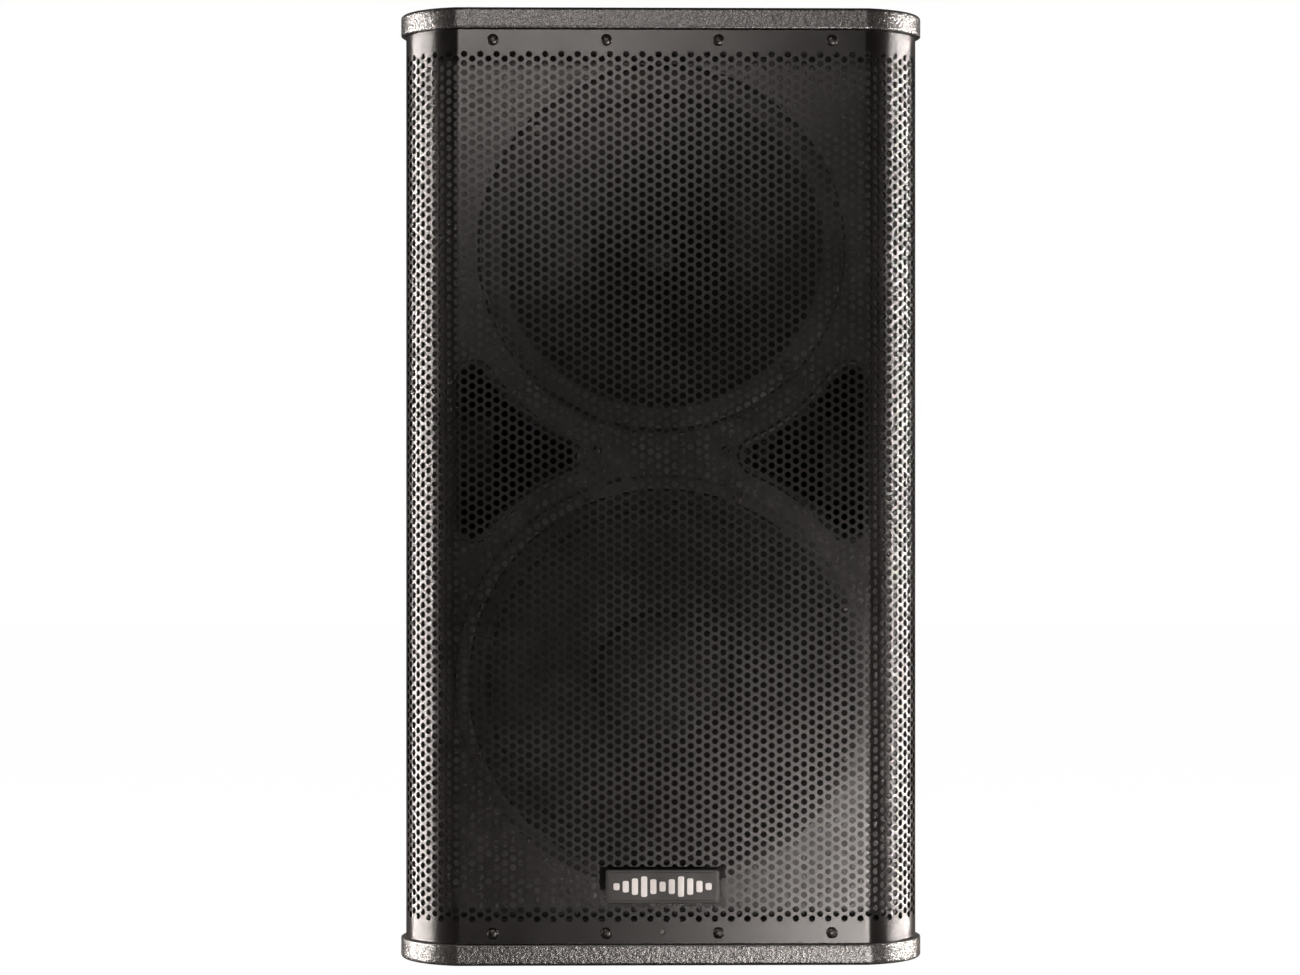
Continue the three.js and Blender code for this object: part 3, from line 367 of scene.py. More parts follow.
def cast_coat():
    """Coarse sparkling powder coat over the cast end caps, duller on the face that things are set down on."""
    made = coat("cast_coat", (0.015, 0.0135, 0.0128), 0.25,
                (500, 3, (0.009, 0.0082, 0.0078), (0.026, 0.0235, 0.0222)),
                bumps=[(380, 4, 0.0004), (1200, 2, 0.00012)], Specular_IOR_Level=1.0, IOR=1.6)
    nodes, links = made.node_tree.nodes, made.node_tree.links
    facing, parts = nodes.new("ShaderNodeTexCoord"), nodes.new("ShaderNodeSeparateXYZ")
    links.new(facing.outputs["Normal"], parts.inputs["Vector"])
    total = nodes.new("ShaderNodeMath")
    links.new(spread(made, grain(made, 800, 2), 0.22, 0.32), total.inputs[0])
    links.new(spread(made, parts.outputs["Z"], 0.0, 0.34, (0.6, 0.95)), total.inputs[1])
    links.new(total.outputs["Value"], nodes["Principled BSDF"].inputs["Roughness"])
    return made


def moulded_plastic(name, colour, roughness):
    lighter = tuple(min(1, c * 1.35 + 0.001) for c in colour)
    return coat(name, colour, roughness, (40, 3, colour, lighter),
                (120, 2, roughness - 0.05, roughness + 0.06), [(1800, 2, 0.00003)])


def metal(name, colour, roughness, brushed=(1, 1, 1)):
    darker = tuple(c * 0.8 for c in colour)
    return coat(name, colour, roughness, (80, 3, darker, colour),
                (400, 3, roughness - 0.06, roughness + 0.08), metallic=1.0, stretch=brushed)


def woven(name, colour, threads=900):
    """Crossed threads; more threads make a finer weave."""
    made, shader = material(name, colour, 0.85)
    nodes, links = made.node_tree.nodes, made.node_tree.links
    place = nodes.new("ShaderNodeTexCoord")
    waves = []
    for direction in ("X", "Z"):
        wave = nodes.new("ShaderNodeTexWave")
        wave.bands_direction = direction
        wave.inputs["Scale"].default_value = threads / 6.28
        links.new(place.outputs["Object"], wave.inputs["Vector"])
        waves.append(wave.outputs["Fac"])
    weave = nodes.new("ShaderNodeMath")
    weave.operation = "MAXIMUM"
    links.new(waves[0], weave.inputs[0])
    links.new(waves[1], weave.inputs[1])
    tint(made, shader, weave.outputs["Value"], tuple(c * 0.6 for c in colour), tuple(c * 1.3 for c in colour))
    bump(made, shader, [(weave.outputs["Value"], 0.0003)])
    return made


POWDER = coat(  # semi-gloss black on the grille, with a faint orange peel
    "powder_coat", (0.007, 0.0064, 0.006), 0.2, (60, 4, (0.0048, 0.0041, 0.0038), (0.008, 0.007, 0.0066)),
    (25, 3, 0.2, 0.24), [(900, 2, 0.00004)])
CAST = cast_coat()
PAINT = coat(  # tough pebbled paint on the plywood
    "cabinet_paint", (0.007, 0.0066, 0.0063), 0.55,
    (35, 4, (0.0052, 0.0048, 0.0046), (0.0088, 0.0083, 0.008)),
    (300, 2, 0.45, 0.62), [(520, None, 0.0007), (1500, 3, 0.0002)], Specular_IOR_Level=0.4)
BAFFLE_PAINT = coat(
    "baffle_paint", (0.013, 0.012, 0.0115), 0.27, (30, 4, (0.0105, 0.0095, 0.0092), (0.0155, 0.0142, 0.0137)),
    (90, 2, 0.24, 0.3), [(700, 3, 0.0002)], Specular_IOR_Level=0.8)
PLASTIC = moulded_plastic("black_plastic", (0.008, 0.0077, 0.0075), 0.42)
HORN_PLASTIC = moulded_plastic("waveguide_plastic", (0.012, 0.0112, 0.011), 0.42)
BADGE_PLASTIC = moulded_plastic("badge_plastic", (0.02, 0.0192, 0.019), 0.42)
EMBLEM = moulded_plastic("emblem_white", (0.72, 0.7, 0.69), 0.4)
SCREW = metal("black_screw", (0.075, 0.069, 0.066), 0.28)
ZINC = metal("zinc_steel", (0.5, 0.49, 0.47), 0.35)
FERRITE = moulded_plastic("ferrite", (0.06, 0.058, 0.055), 0.75)
COPPER = metal("lacquered_copper", (0.62, 0.3, 0.16), 0.3, (1, 1, 14))
TITANIUM = metal("titanium", (0.6, 0.58, 0.56), 0.28)
FRAME_COAT = moulded_plastic("frame_coat", (0.022, 0.021, 0.021), 0.5)
PULP = coat("paper_pulp", (0.022, 0.021, 0.02), 0.8, (260, 5, (0.016, 0.0155, 0.015), (0.034, 0.032, 0.031)),
            bumps=[(600, 5, 0.0004)])
CLOTH = woven("doped_cloth", (0.02, 0.019, 0.019))
BOARD = moulded_plastic("circuit_board", (0.03, 0.11, 0.05), 0.45)
FILM = moulded_plastic("capacitor_film", (0.5, 0.36, 0.06), 0.35)
WADDING = woven("wadding", (0.62, 0.6, 0.55), 160)
RUBBER = coat("rubber", (0.008, 0.008, 0.008), 0.7,
              (90, 4, (0.0055, 0.0055, 0.0055), (0.011, 0.0105, 0.0105)), bumps=[(1300, 2, 0.00008)])


def stage_white():
    """A pale floor that meets the white backdrop without a horizon, with only a faint shadow on it."""
    made = bpy.data.materials.new("stage_white")
    made.use_nodes = True
    nodes, links = made.node_tree.nodes, made.node_tree.links
    nodes.clear()
    lit, glow = nodes.new("ShaderNodeBsdfDiffuse"), nodes.new("ShaderNodeEmission")
    lit.inputs["Color"].default_value = (0.12, 0.115, 0.11, 1)
    glow.inputs["Strength"].default_value = 1.1
    path, share = nodes.new("ShaderNodeLightPath"), nodes.new("ShaderNodeMath")
    share.operation = "MULTIPLY"
    share.inputs[1].default_value = 0.9
    mix, output = nodes.new("ShaderNodeMixShader"), nodes.new("ShaderNodeOutputMaterial")
    links.new(path.outputs["Is Camera Ray"], share.inputs[0])
    links.new(share.outputs[0], mix.inputs[0])
    links.new(lit.outputs[0], mix.inputs[1])
    links.new(glow.outputs[0], mix.inputs[2])
    links.new(mix.outputs[0], output.inputs["Surface"])
    return made


STAGE_WHITE = stage_white()


# ------------------------------------------------------------------ perforated grille

def around(centre, radius, sides=HOLE_SIDES):
    return [(centre[0] + radius * math.cos(2 * math.pi * i / sides),
             centre[1] + radius * math.sin(2 * math.pi * i / sides)) for i in range(sides)]


def cell_outline(centre):
    """A hexagon with its corners at 0, 60, 120 ... degrees and the middles of its sides between them."""
    corners = around(centre, PITCH / math.sqrt(3), 6)
    loop = []
    for here, there in zip(corners, corners[1:] + corners[:1]):
        loop += [here, ((here[0] + there[0]) / 2, (here[1] + there[1]) / 2)]
    return loop


def column_s(column):
    return (column - (COLUMNS - 1) / 2) * COLUMN_STEP


def column_top(column):
    """The height of a column's highest hole: every other column is half a pitch lower."""
    return MID + FIELD_TOP - (PITCH / 2 if column % 2 else 0.0)


def hole_centre(column, row):
    return (column_s(column), column_top(column) - row * PITCH)


def inside_window(point, grow=0.0):
    return (abs(point[0] - BADGE_CENTRE[0]) < WINDOW_HALF[0] + grow
            and abs(point[1] - BADGE_CENTRE[1]) < WINDOW_HALF[1] + grow)


def inside_disc(point, centre, radius, sides=HOLE_SIDES):
    """Whether a point is inside the disc's polygon."""
    away = Vector(point) - Vector(centre)
    if away.length > radius:
        return False
    turn = math.atan2(away.y, away.x) % (2 * math.pi / sides) - math.pi / sides
    return away.length * math.cos(turn) < radius * math.cos(math.pi / sides)


def loop_edges(first, count):
    return [(first + i, first + (i + 1) % count) for i in range(count)]


def triangulated(loops, keep):
    """Triangles of the plane between some closed loops, where keep says so."""
    points, edges = [], []
    for loop in loops:
        edges += loop_edges(len(points), len(loop))
        points += loop
    found = delaunay_2d_cdt([Vector(p) for p in points], edges, [], 0, 1e-7)
    kept = []
    for face in found[2]:
        corners = [found[0][i] for i in face]
        middle = sum(corners, Vector((0, 0))) / len(corners)
        if keep(middle):
            kept.append([tuple(c) for c in corners])
    return kept


def window_patch(cells):
    """The cells that the badge window cuts into, with whatever it leaves of them."""
    window = rounded_box_points(2 * WINDOW_HALF[0], 2 * WINDOW_HALF[1], 2 * MM, 4)
    window = [(p.x + BADGE_CENTRE[0], p.y + BADGE_CENTRE[1]) for p in window]
    loops = [window] + [cell_outline(c) for c in cells] + [around(c, HOLE_RADIUS) for c in cells]

    def keep(middle):
        if inside_window(middle):
            return False
        in_cell = any(inside_hexagon(middle, c) for c in cells)
        return in_cell and not any(inside_disc(middle, c, HOLE_RADIUS) for c in cells)

    return triangulated(loops, keep)


def inside_hexagon(point, centre):
    away = Vector(point) - Vector(centre)
    return all(abs(away.x * math.cos(t) + away.y * math.sin(t)) < PITCH / 2
               for t in (math.radians(30), math.radians(90), math.radians(150)))


def field_edge(columns, top):
    """The zigzag edge of the field of cells along its top or bottom, from left to right."""
    side = 1 if top else -1
    half = PITCH / math.sqrt(3) / 2
    line = []
    for column in columns:
        s, z = hole_centre(column, 0 if top else ROWS - 1)
        edge = [(s - half, z + side * PITCH / 2), (s, z + side * PITCH / 2), (s + half, z + side * PITCH / 2)]
        if (column % 2 == 0) == top:  # this column stands out of its neighbours
            knee = z + side * PITCH / 4
            edge = ([(s - 2 * half, z), (s - 1.5 * half, knee)] + edge
                    + [(s + 1.5 * half, knee), (s + 2 * half, z)])
        line += edge
    clean = []
    for point in line:
        if not clean or (Vector(point) - Vector(clean[-1])).length > 1e-6:
            clean.append(point)
    return clean


def margin(columns, top):
    """The plain strip between the cells and the sheet's top or bottom edge."""
    end = GRILLE_HIGH.z if top else GRILLE_LOW.z
    line = field_edge(columns, top)
    near_pin = [p for p in line if not top and abs(p[0]) < 3.2 * COLUMN_STEP]
    faces = []
    for here, there in zip(line, line[1:]):
        if here in near_pin and there in near_pin or abs(here[0] - there[0]) < 1e-7:
            continue
        faces.append([here, there, (there[0], end), (here[0], end)])
    if near_pin:
        disc = around(PIN_HOLE, PIN_HOLE_RADIUS, 20)
        outline = near_pin + [(p[0], end) for p in reversed(near_pin)]

        def keep(middle):
            return not inside_disc(middle, PIN_HOLE, PIN_HOLE_RADIUS, 20) and under_line(middle, near_pin)

        faces += triangulated([outline, disc], keep)
    return faces


def under_line(point, line):
    """Whether a point is below the zigzag line and between its ends."""
    for here, there in zip(line, line[1:]):
        if here[0] <= point[0] <= there[0] and there[0] > here[0]:
            share = (point[0] - here[0]) / (there[0] - here[0])
            return point[1] < here[1] + (there[1] - here[1]) * share
    return False


def side_margin(right):
    """The plain strip from the last column of cells to the sheet's side edge, beside the panel."""
    column = COLUMNS - 1 if right else 0
    sign = 1 if right else -1
    reach = PITCH / math.sqrt(3)
    line = []
    for row in range(ROWS):
        s, z = hole_centre(column, row)
        up = z + PITCH / 2
        line += [(s + sign * reach / 2, up), (s + sign * 0.75 * reach, z + PITCH / 4), (s + sign * reach, z),
                 (s + sign * 0.75 * reach, z - PITCH / 4)]
    line.append((s + sign * reach / 2, z - PITCH / 2))
    first = column_s(column) + sign * (reach + 0.4 * MM)
    last = sign * SHEET_HALF
    steps = 6
    stops = [first + (last - first) * i / steps for i in range(steps + 1)]
    faces = []
    for here, there in zip(line, line[1:]):
        faces.append([here, there, (stops[0], there[1]), (stops[0], here[1])])
    for inner, outer in zip(stops, stops[1:]):
        for here, there in zip(line, line[1:]):
            faces.append([(inner, here[1]), (inner, there[1]), (outer, there[1]), (outer, here[1])])
    ends = ((line[0][1], GRILLE_HIGH.z), (line[-1][1], GRILLE_LOW.z))
    for edge, end in ends:
        row = [column_s(column) + sign * reach / 2] + stops
        for inner, outer in zip(row, row[1:]):
            faces.append([(inner, edge), (outer, edge), (outer, end), (inner, end)])
    return faces


def sheet_faces(columns):
    """Flat faces of one upright part of the perforated sheet, in (s, z)."""
    faces, cut_cells = [], []
    for column in columns:
        for row in range(ROWS):
            centre = hole_centre(column, row)
            if inside_window(centre, PITCH / 2 * 1.2):
                cut_cells.append(centre)
                continue
            rim, edge = around(centre, HOLE_RADIUS), cell_outline(centre)
            for i in range(HOLE_SIDES):
                j = (i + 1) % HOLE_SIDES
                faces.append([rim[i], edge[i], edge[j], rim[j]])
    if cut_cells:
        faces += window_patch(cut_cells)
    faces += margin_between(columns, True) + margin_between(columns, False)
    if columns[0] == 0:
        faces += side_margin(False)
    if columns[-1] == COLUMNS - 1:
        faces += side_margin(True)
    return faces


def margin_between(columns, top):
    """The margin over these columns, up to the flat edges of the outermost cells."""
    reach = PITCH / math.sqrt(3) / 2
    faces = margin(columns, top)
    low = column_s(0) - reach if columns[0] == 0 else -1
    high = column_s(COLUMNS - 1) + reach if columns[-1] == COLUMNS - 1 else 1
    return [f for f in faces if low - 1e-6 <= sum(p[0] for p in f) / len(f) <= high + 1e-6]


def thickened(faces):
    """Points and faces of a closed sheet with an outer skin, an inner skin and walls round every edge."""
    index, points, outer = {}, [], []
    for face in faces:
        corners = []
        for s, z in face:
            key = (round(s * 2e5), round(z * 2e5))
            if key not in index:
                index[key] = len(points)
                points.append((s, z))
            if not corners or corners[-1] != index[key]:
                corners.append(index[key])
        if corners[0] == corners[-1]:
            corners.pop()
        if len(corners) < 3:
            continue
        area = sum(points[a][0] * points[b][1] - points[b][0] * points[a][1]
                   for a, b in zip(corners, corners[1:] + corners[:1]))
        outer.append(corners if area > 0 else corners[::-1])
    count = len(points)
    used = set()
    for face in outer:
        used.update(zip(face, face[1:] + face[:1]))
    walls = [(b, a, a + count, b + count) for a, b in used if (b, a) not in used]
    solid = [sheet_point(s, z, 0.0) for s, z in points] + [sheet_point(s, z, SHEET) for s, z in points]
    inner = [tuple(i + count for i in reversed(face)) for face in outer]
    return solid, [tuple(face) for face in outer] + inner + walls


def build_grille():
    parts = []
    bounds = (0, 23, 47, COLUMNS)
    for name, first, last in zip(("left", "middle", "right"), bounds, bounds[1:]):
        points, faces = thickened(sheet_faces(list(range(first, last))))
        mesh = bpy.data.meshes.new(f"grille_{name}")
        mesh.from_pydata(points, [], faces)
        parts.append(finish_object(f"grille_{name}", mesh, POWDER))
        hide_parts("grille")
    return parts


# ------------------------------------------------------------------ shapes for the pieces

FORWARD, BACKWARD = (0, -1, 0), (0, 1, 0)
GAP = 0.3  # mm between pieces that meet


def at(x, y, z):
    """A point given in mm."""
    return Vector((x, y, z)) * MM


def soften(profile, radius, closed=True, steps=3):
    """Rounds the corners of a profile, leaving its first and last points where it is open."""
    spots = [Vector(p) for p in profile]
    rounded = []
    for i, spot in enumerate(spots):
        if not closed and i in (0, len(spots) - 1):
            rounded.append(tuple(spot))
            continue
        before, after = spots[i - 1], spots[(i + 1) % len(spots)]
        reach = min(radius, 0.45 * (before - spot).length, 0.45 * (after - spot).length)
        start = spot + (before - spot).normalized() * reach
        end = spot + (after - spot).normalized() * reach
        for step in range(steps + 1):
            t = step / steps
            rounded.append(tuple(start * (1 - t) ** 2 + spot * 2 * t * (1 - t) + end * t ** 2))
    return rounded


def front_frame(u, v, depth):
    return at(u, depth, v)


def plan_frame(u, v, depth):
    return at(u, v, depth)


def rounded_stack(levels, centre=(0, 0), place=front_frame, steps=8):
    """A loft through rounded rectangles of (width, height, corner radius, depth) in mm."""
    rings = []
    for width, height, radius, depth in levels:
        loop = rounded_box_points(width, height, radius, steps)
        rings.append([place(p.x + centre[0], p.y + centre[1], depth) for p in loop])
    return loft(rings)


def plate_levels(width, height, radius, front, back, edge, side=1):
    """Levels of a slab whose front edge is rounded; side is the direction from front to back."""
    levels = []
    for share in (1, 0.75, 0.5, 0.25, 0):
        turn = share * math.pi / 2
        inset = edge * (1 - math.cos(turn))
        levels.append((width - 2 * inset, height - 2 * inset, max(radius - inset, 0.2),
                       front + side * edge * (1 - math.sin(turn))))
    return levels + [(width, height, radius, back)]


def swap(piece, *nodes, slot=None):
    """Hides the CAD nodes that a piece stands in for, and returns the piece."""
    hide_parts(*nodes)
    return piece


def copies(template, names, places, direction, body="cabinet"):
    """Copies of a mesh built along +Z, pointing in a direction, at places in metres."""
    made = []
    turn = Vector(direction).to_track_quat("Z", "Y").to_matrix().to_4x4()
    for name, place in zip(names, places):
        mesh = template.copy()
        mesh.transform(Matrix.Translation(place) @ turn)
        made.append(linked(name, mesh))
        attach(made[-1], body)
    return made


def template_from(piece):
    mesh = piece.data
    bpy.data.objects.remove(piece)
    return mesh


def pan_head_template(radius, height, material, shank=2.0, length=3.5):
    """A domed head with a cross recess, its underside at 0, pointing along +Z."""
    dome = [(radius * math.sin(t), height * 0.45 + height * 0.55 * math.cos(t))
            for t in (math.radians(a) for a in (0, 20, 38, 54, 68, 80, 90))]
    profile = dome + [(radius, 0.35), (radius - 0.25, 0), (shank, 0), (shank, -length), (0, -length)]
    piece = lathe_object("screw_template", profile, 36, (0, 0, 0), material, "Z")
    wide, narrow = radius * 0.56, radius * 0.13
    for long_x in (True, False):
        low, high = (wide * 0.9, wide * 0.24), (2 * wide, 2 * narrow)
        if not long_x:
            low, high = low[::-1], high[::-1]
        levels = [(*low, narrow * 0.5, height * 0.35), (*high, narrow * 0.9, height + 0.3)]
        boolean(piece, tool(*rounded_stack(levels, place=plan_frame, steps=2)))
    return template_from(piece)


def socket_screw_template(radius, height, material, key):
    """A cylinder-head screw with a six-sided socket."""
    profile = soften([(0, height), (radius, height), (radius, 0), (0, 0)], 0.5, closed=False)
    piece = lathe_object("screw_template", profile, 36, (0, 0, 0), material, "Z")
    drill(piece, key, height * 0.35, height + 1, (0, 0, 0), "Z", 6)
    return template_from(piece)


def ring_places(radius, centre_z, y, angles):
    turns = [math.radians(angle) for angle in angles]
    return [at(radius * math.cos(turn), y, centre_z + radius * math.sin(turn)) for turn in turns]


def ring_gasket(name, radii, depths, rounding, centre):
    (inner, outer), (first, last) = radii, depths
    profile = soften([(inner, first), (outer, first), (outer, last), (inner, last)], rounding)
    return lathe_object(name, profile, 128, centre, RUBBER)


# ------------------------------------------------------------------ end caps

TOP, FOOT_STAND, CAP_HEIGHT = 718.5, 1.5, 15.5
RIM_STEP = 1.4 * MM


def rim_points():
    """Points round the body outline with their outward directions, no further apart than a step."""
    pairs = []
    for centre, radius, first, last, steps in (
            (CREASE_CENTRE, CREASE_RADIUS, 0, CREASE_TURN, 4),
            (CORNER_CENTRE, CORNER_RADIUS, CREASE_TURN, SIDE_HEADING, 56),
            (REAR_CENTRE, REAR_RADIUS, SIDE_HEADING, math.pi, 18)):
        for i in range(1 if pairs and steps == 56 else 0, steps + 1):
            heading = first + (last - first) * i / steps
            pairs.append((centre + outward(heading) * radius, outward(heading)))
    pairs += [(Vector((-p.x, p.y)), Vector((-n.x, n.y))) for p, n in reversed(pairs)]
    split = []
    for (here, facing), (there, turned) in zip(pairs, pairs[1:] + pairs[:1]):
        parts = max(1, math.ceil((there - here).length / RIM_STEP))
        split += [(here.lerp(there, i / parts), facing.lerp(turned, i / parts)) for i in range(parts)]
    return split


RIM = rim_points()


def cap_shell(name, outer, inner):
    """A cast tray with a rounded rim and a coarse surface; outer is the face away from the cabinet."""
    up = 1 if outer > inner else -1
    over, edge = 3.8, 2.4
    rows = [(over - 5, inner), (over - 0.8, inner), (over - 0.2, inner + up * 0.25), (over, inner + up * 0.8)]
    flat = CAP_HEIGHT - 0.8 - edge
    rows += [(over, inner + up * (0.8 + flat * i / 10)) for i in range(1, 11)]
    for angle in (15, 30, 45, 60, 75, 90):
        turn = math.radians(angle)
        rows.append((over - edge + edge * math.cos(turn), outer - up * edge * (1 - math.sin(turn))))
    rows += [(over - edge - 1.3 * i, outer) for i in (1, 2, 3)]
    rings = []
    for offset, z in rows:
        ring = []
        for spot, facing in RIM:
            place = spot + facing * offset * MM
            point = Vector((place.x, place.y, z * MM))
            rough = 0.0
            if abs(z - inner) >= 0.1:  # the rim that meets the panels stays true
                rough = noise.noise(point * 420) * 0.1 + noise.noise(point * 900) * 0.05
            point += Vector((facing.x, facing.y, 0.35 * up)) * rough * MM
            ring.append(point)
        rings.append(ring)
    return new_object(name, *loft(rings), CAST)


FOOT_SPOTS = [(150, -128), (-150, -128), (118, 138), (-118, 138)]
RIG_TOP = [(105, -30), (-105, -30)]
RIG_BOTTOM = [(105, 25), (-105, 25)]
POLE_Y = -10


def build_caps():
    top = cap_shell("cast_cap_top", TOP, TOP - CAP_HEIGHT)
    for x, y in RIG_TOP:
        drill(top, 9.3, TOP - 6, TOP + 2, at(x, y, 0), "Z", 64)
    swap(top, "end_cap_top", slot="cap_casting")
    bottom = cap_shell("cast_cap_bottom", FOOT_STAND, FOOT_STAND + CAP_HEIGHT)
    for x, y in RIG_BOTTOM:
        drill(bottom, 9.3, -1, FOOT_STAND + 6, at(x, y, 0), "Z", 64)
    for x, y in FOOT_SPOTS:
        drill(bottom, 12.3, -1, 6.3, at(x, y, 0), "Z", 64)
    drill(bottom, 42.3, -1, 5.1, at(0, POLE_Y, 0), "Z", 96)
    drill(bottom, 21.5, -1, 20, at(0, POLE_Y, 0), "Z", 64)
    swap(bottom, "end_cap_bottom", slot="cap_casting")


# ------------------------------------------------------------------ badge and grille screws

def build_badge():
    """A bevelled plate with a shallow panel and a generic row of level bars on it."""
    height, face = BADGE_CENTRE[1] / MM, -180.2
    levels = [(79.5, 20.5, 1.0, face + 0.45), (80.3, 21.3, 1.4, face)]
    levels += plate_levels(85, 25.5, 2.2, face, face + 3.5, 0.9)
    badge = new_object("badge_plate_detail", *rounded_stack(levels, (0, height)), BADGE_PLASTIC)
    post_back = -149.0
    for x in (-30, 30):
        boolean(badge, cylinder_tool(3, face + 2.5, post_back, at(x, 0, height - 8.5), "Y", 32), "UNION")
    swap(badge, "badge_plate", slot="badge_plastic")
    heights = (0.34, 0.56, 0.8, 1.0, 0.72, 0.48, 0.72, 1.0, 0.8, 0.56, 0.34)
    for i, share in enumerate(heights):
        x = (i - (len(heights) - 1) / 2) * 6.9
        bar = plate_levels(4.6, 15.4 * share, 1.3, face - 0.15, face + 0.6, 0.3)
        piece = new_object(f"badge_bar_{i + 1}", *rounded_stack(bar, (x, height), steps=5), EMBLEM)


def build_grille_screws():
    template = pan_head_template(4.25, 3.0, SCREW)
    for row, z in (("top", MID / MM + 334.5), ("bottom", MID / MM - 334.5)):
        names = [f"grille_screw_{row}_{i}_detail" for i in range(1, 5)]
        places = [Vector((x, FRONT - 0.3 * MM, z * MM)) for x in SCREW_XS]
        for i, piece in enumerate(copies(template, names, places, FORWARD), 1):
            swap(piece, f"grille_screw_{row}_{i}", slot="screw_steel")


# ------------------------------------------------------------------ baffle, ports and waveguide

WAVEGUIDE_Z, WOOFER_Z = 540.2, 211.9
BAFFLE_Y = -148.7  # the baffle's front face, in mm
BAFFLE_SCREW_X, BAFFLE_SCREW_Z = 48.6, 387.7
PORT_SIDE, PORT_TIP, PORT_CORNER = 153, 8, 10
PORT_CLEAR_WAVEGUIDE, PORT_CLEAR_WOOFER = 165, 178


def port_outline(grow, mirror=1, steps=10):
    """A rounded three-cornered outline between the two drivers, in (x, z), grown outwards by a wall."""
    top, bottom = PORT_CLEAR_WAVEGUIDE - grow, PORT_CLEAR_WOOFER - grow
    side, tip, corner = PORT_SIDE + grow, PORT_TIP + grow, PORT_CORNER + grow
    span = WAVEGUIDE_Z - WOOFER_Z
    tip_drop = (span ** 2 + (top + tip) ** 2 - (bottom + tip) ** 2) / (2 * span)
    tip_x = math.sqrt((top + tip) ** 2 - tip_drop ** 2)
    corner_x = side - corner
    top_drop = math.sqrt((top + corner) ** 2 - corner_x ** 2)
    bottom_rise = math.sqrt((bottom + corner) ** 2 - corner_x ** 2)
    to_woofer = math.atan2(tip_drop - span, -tip_x)
    to_waveguide = math.atan2(tip_drop, -tip_x)
    low, high = math.atan2(-bottom_rise, -corner_x), math.atan2(top_drop, -corner_x)
    turns = (
        ((tip_x, WAVEGUIDE_Z - tip_drop), tip, to_waveguide, to_woofer + 2 * math.pi),
        ((0, WOOFER_Z), bottom, to_woofer + math.pi, low + math.pi),
        ((corner_x, WOOFER_Z + bottom_rise), corner, low, 0),
        ((corner_x, WAVEGUIDE_Z - top_drop), corner, 0, high),
        ((0, WAVEGUIDE_Z), top, high - math.pi, to_waveguide - math.pi))
    loop = []
    for (x, z), radius, first, last in turns:
        for step in range(steps):
            turn = first + (last - first) * step / steps
            loop.append((mirror * (x + radius * math.cos(turn)), z + radius * math.sin(turn)))
    return loop


def port_ring(grow, y, mirror):
    return [at(x, y, z) for x, z in port_outline(grow, mirror)]


def build_baffle():
    half, low, high = 178.5, 32.6, 687.4
    board = rounded_stack([(2 * half, high - low, 1.5, BAFFLE_Y), (2 * half, high - low, 1.5, BAFFLE_Y + 18)],
                          (0, (high + low) / 2))
    piece = new_object("baffle_board", *board, BAFFLE_PAINT)
    drill(piece, 142, BAFFLE_Y - 1, BAFFLE_Y + 19, at(0, 0, WOOFER_Z), segments=96)
    drill(piece, 123, BAFFLE_Y - 1, BAFFLE_Y + 19, at(0, 0, WAVEGUIDE_Z), segments=96)
    for mirror in (1, -1):
        boolean(piece, tool(*loft([port_ring(3.4, y, mirror) for y in (BAFFLE_Y - 1, BAFFLE_Y + 19)])))
    swap(piece, "baffle", slot="inner_wood")
    template = pan_head_template(3.2, 2.2, SCREW)
    copies(template, ("baffle_screw_1", "baffle_screw_2"),
           [at(x, BAFFLE_Y, BAFFLE_SCREW_Z) for x in (-BAFFLE_SCREW_X, BAFFLE_SCREW_X)], FORWARD)


def build_ports():
    """Ducts with a rounded mouth: one loft up the bore, round the lip and down the outside."""
    for side, mirror in (("right", 1), ("left", -1)):
        duct_back, lip_front, lip_back = -57.0, BAFFLE_Y - 3.3, BAFFLE_Y - GAP
        rows = [(0, duct_back), (0, lip_front + 6)]
        rows += [(5 * (1 - math.cos(math.radians(a))), lip_front + 6 - 6 * math.sin(math.radians(a)))
                 for a in (20, 40, 60, 80)]
        rows += [(5.4, lip_front), (6.2, lip_front + 0.2), (6.8, lip_front + 0.8), (7, lip_front + 1.6),
                 (7, lip_back), (3, lip_back), (3, duct_back)]
        rings = [port_ring(grow, y, mirror) for grow, y in rows]
        points, faces = loft(rings + [rings[0]], caps=False)
        piece = new_object(f"port_{side}_duct", points, faces, PLASTIC)
        face_outwards(piece.data, merge=1e-6)
        swap(piece, f"port_duct_{side}", slot="black_plastic")


HORN_FRONT, THROAT_Y, THROAT = -154.0, -61.7, 12.7
FLANGE_SCREW_RADIUS, FLANGE_SCREW_ANGLES = 130.2, (43.5, 136.5, 223.5, 316.5)


def horn_radius(t):
    return THROAT + (113 - THROAT) * (0.55 * t + 0.45 * t ** 3)


def build_throat_screen():
    """The fine cloth over the compression driver's exit."""
    disc = [(0, THROAT_Y + 0.4), (12.2, THROAT_Y + 0.7), (12.2, THROAT_Y + 1.1), (0, THROAT_Y + 0.8)]
    screen = lathe_object("throat_screen", disc, 48, at(0, 0, WAVEGUIDE_Z), CLOTH)


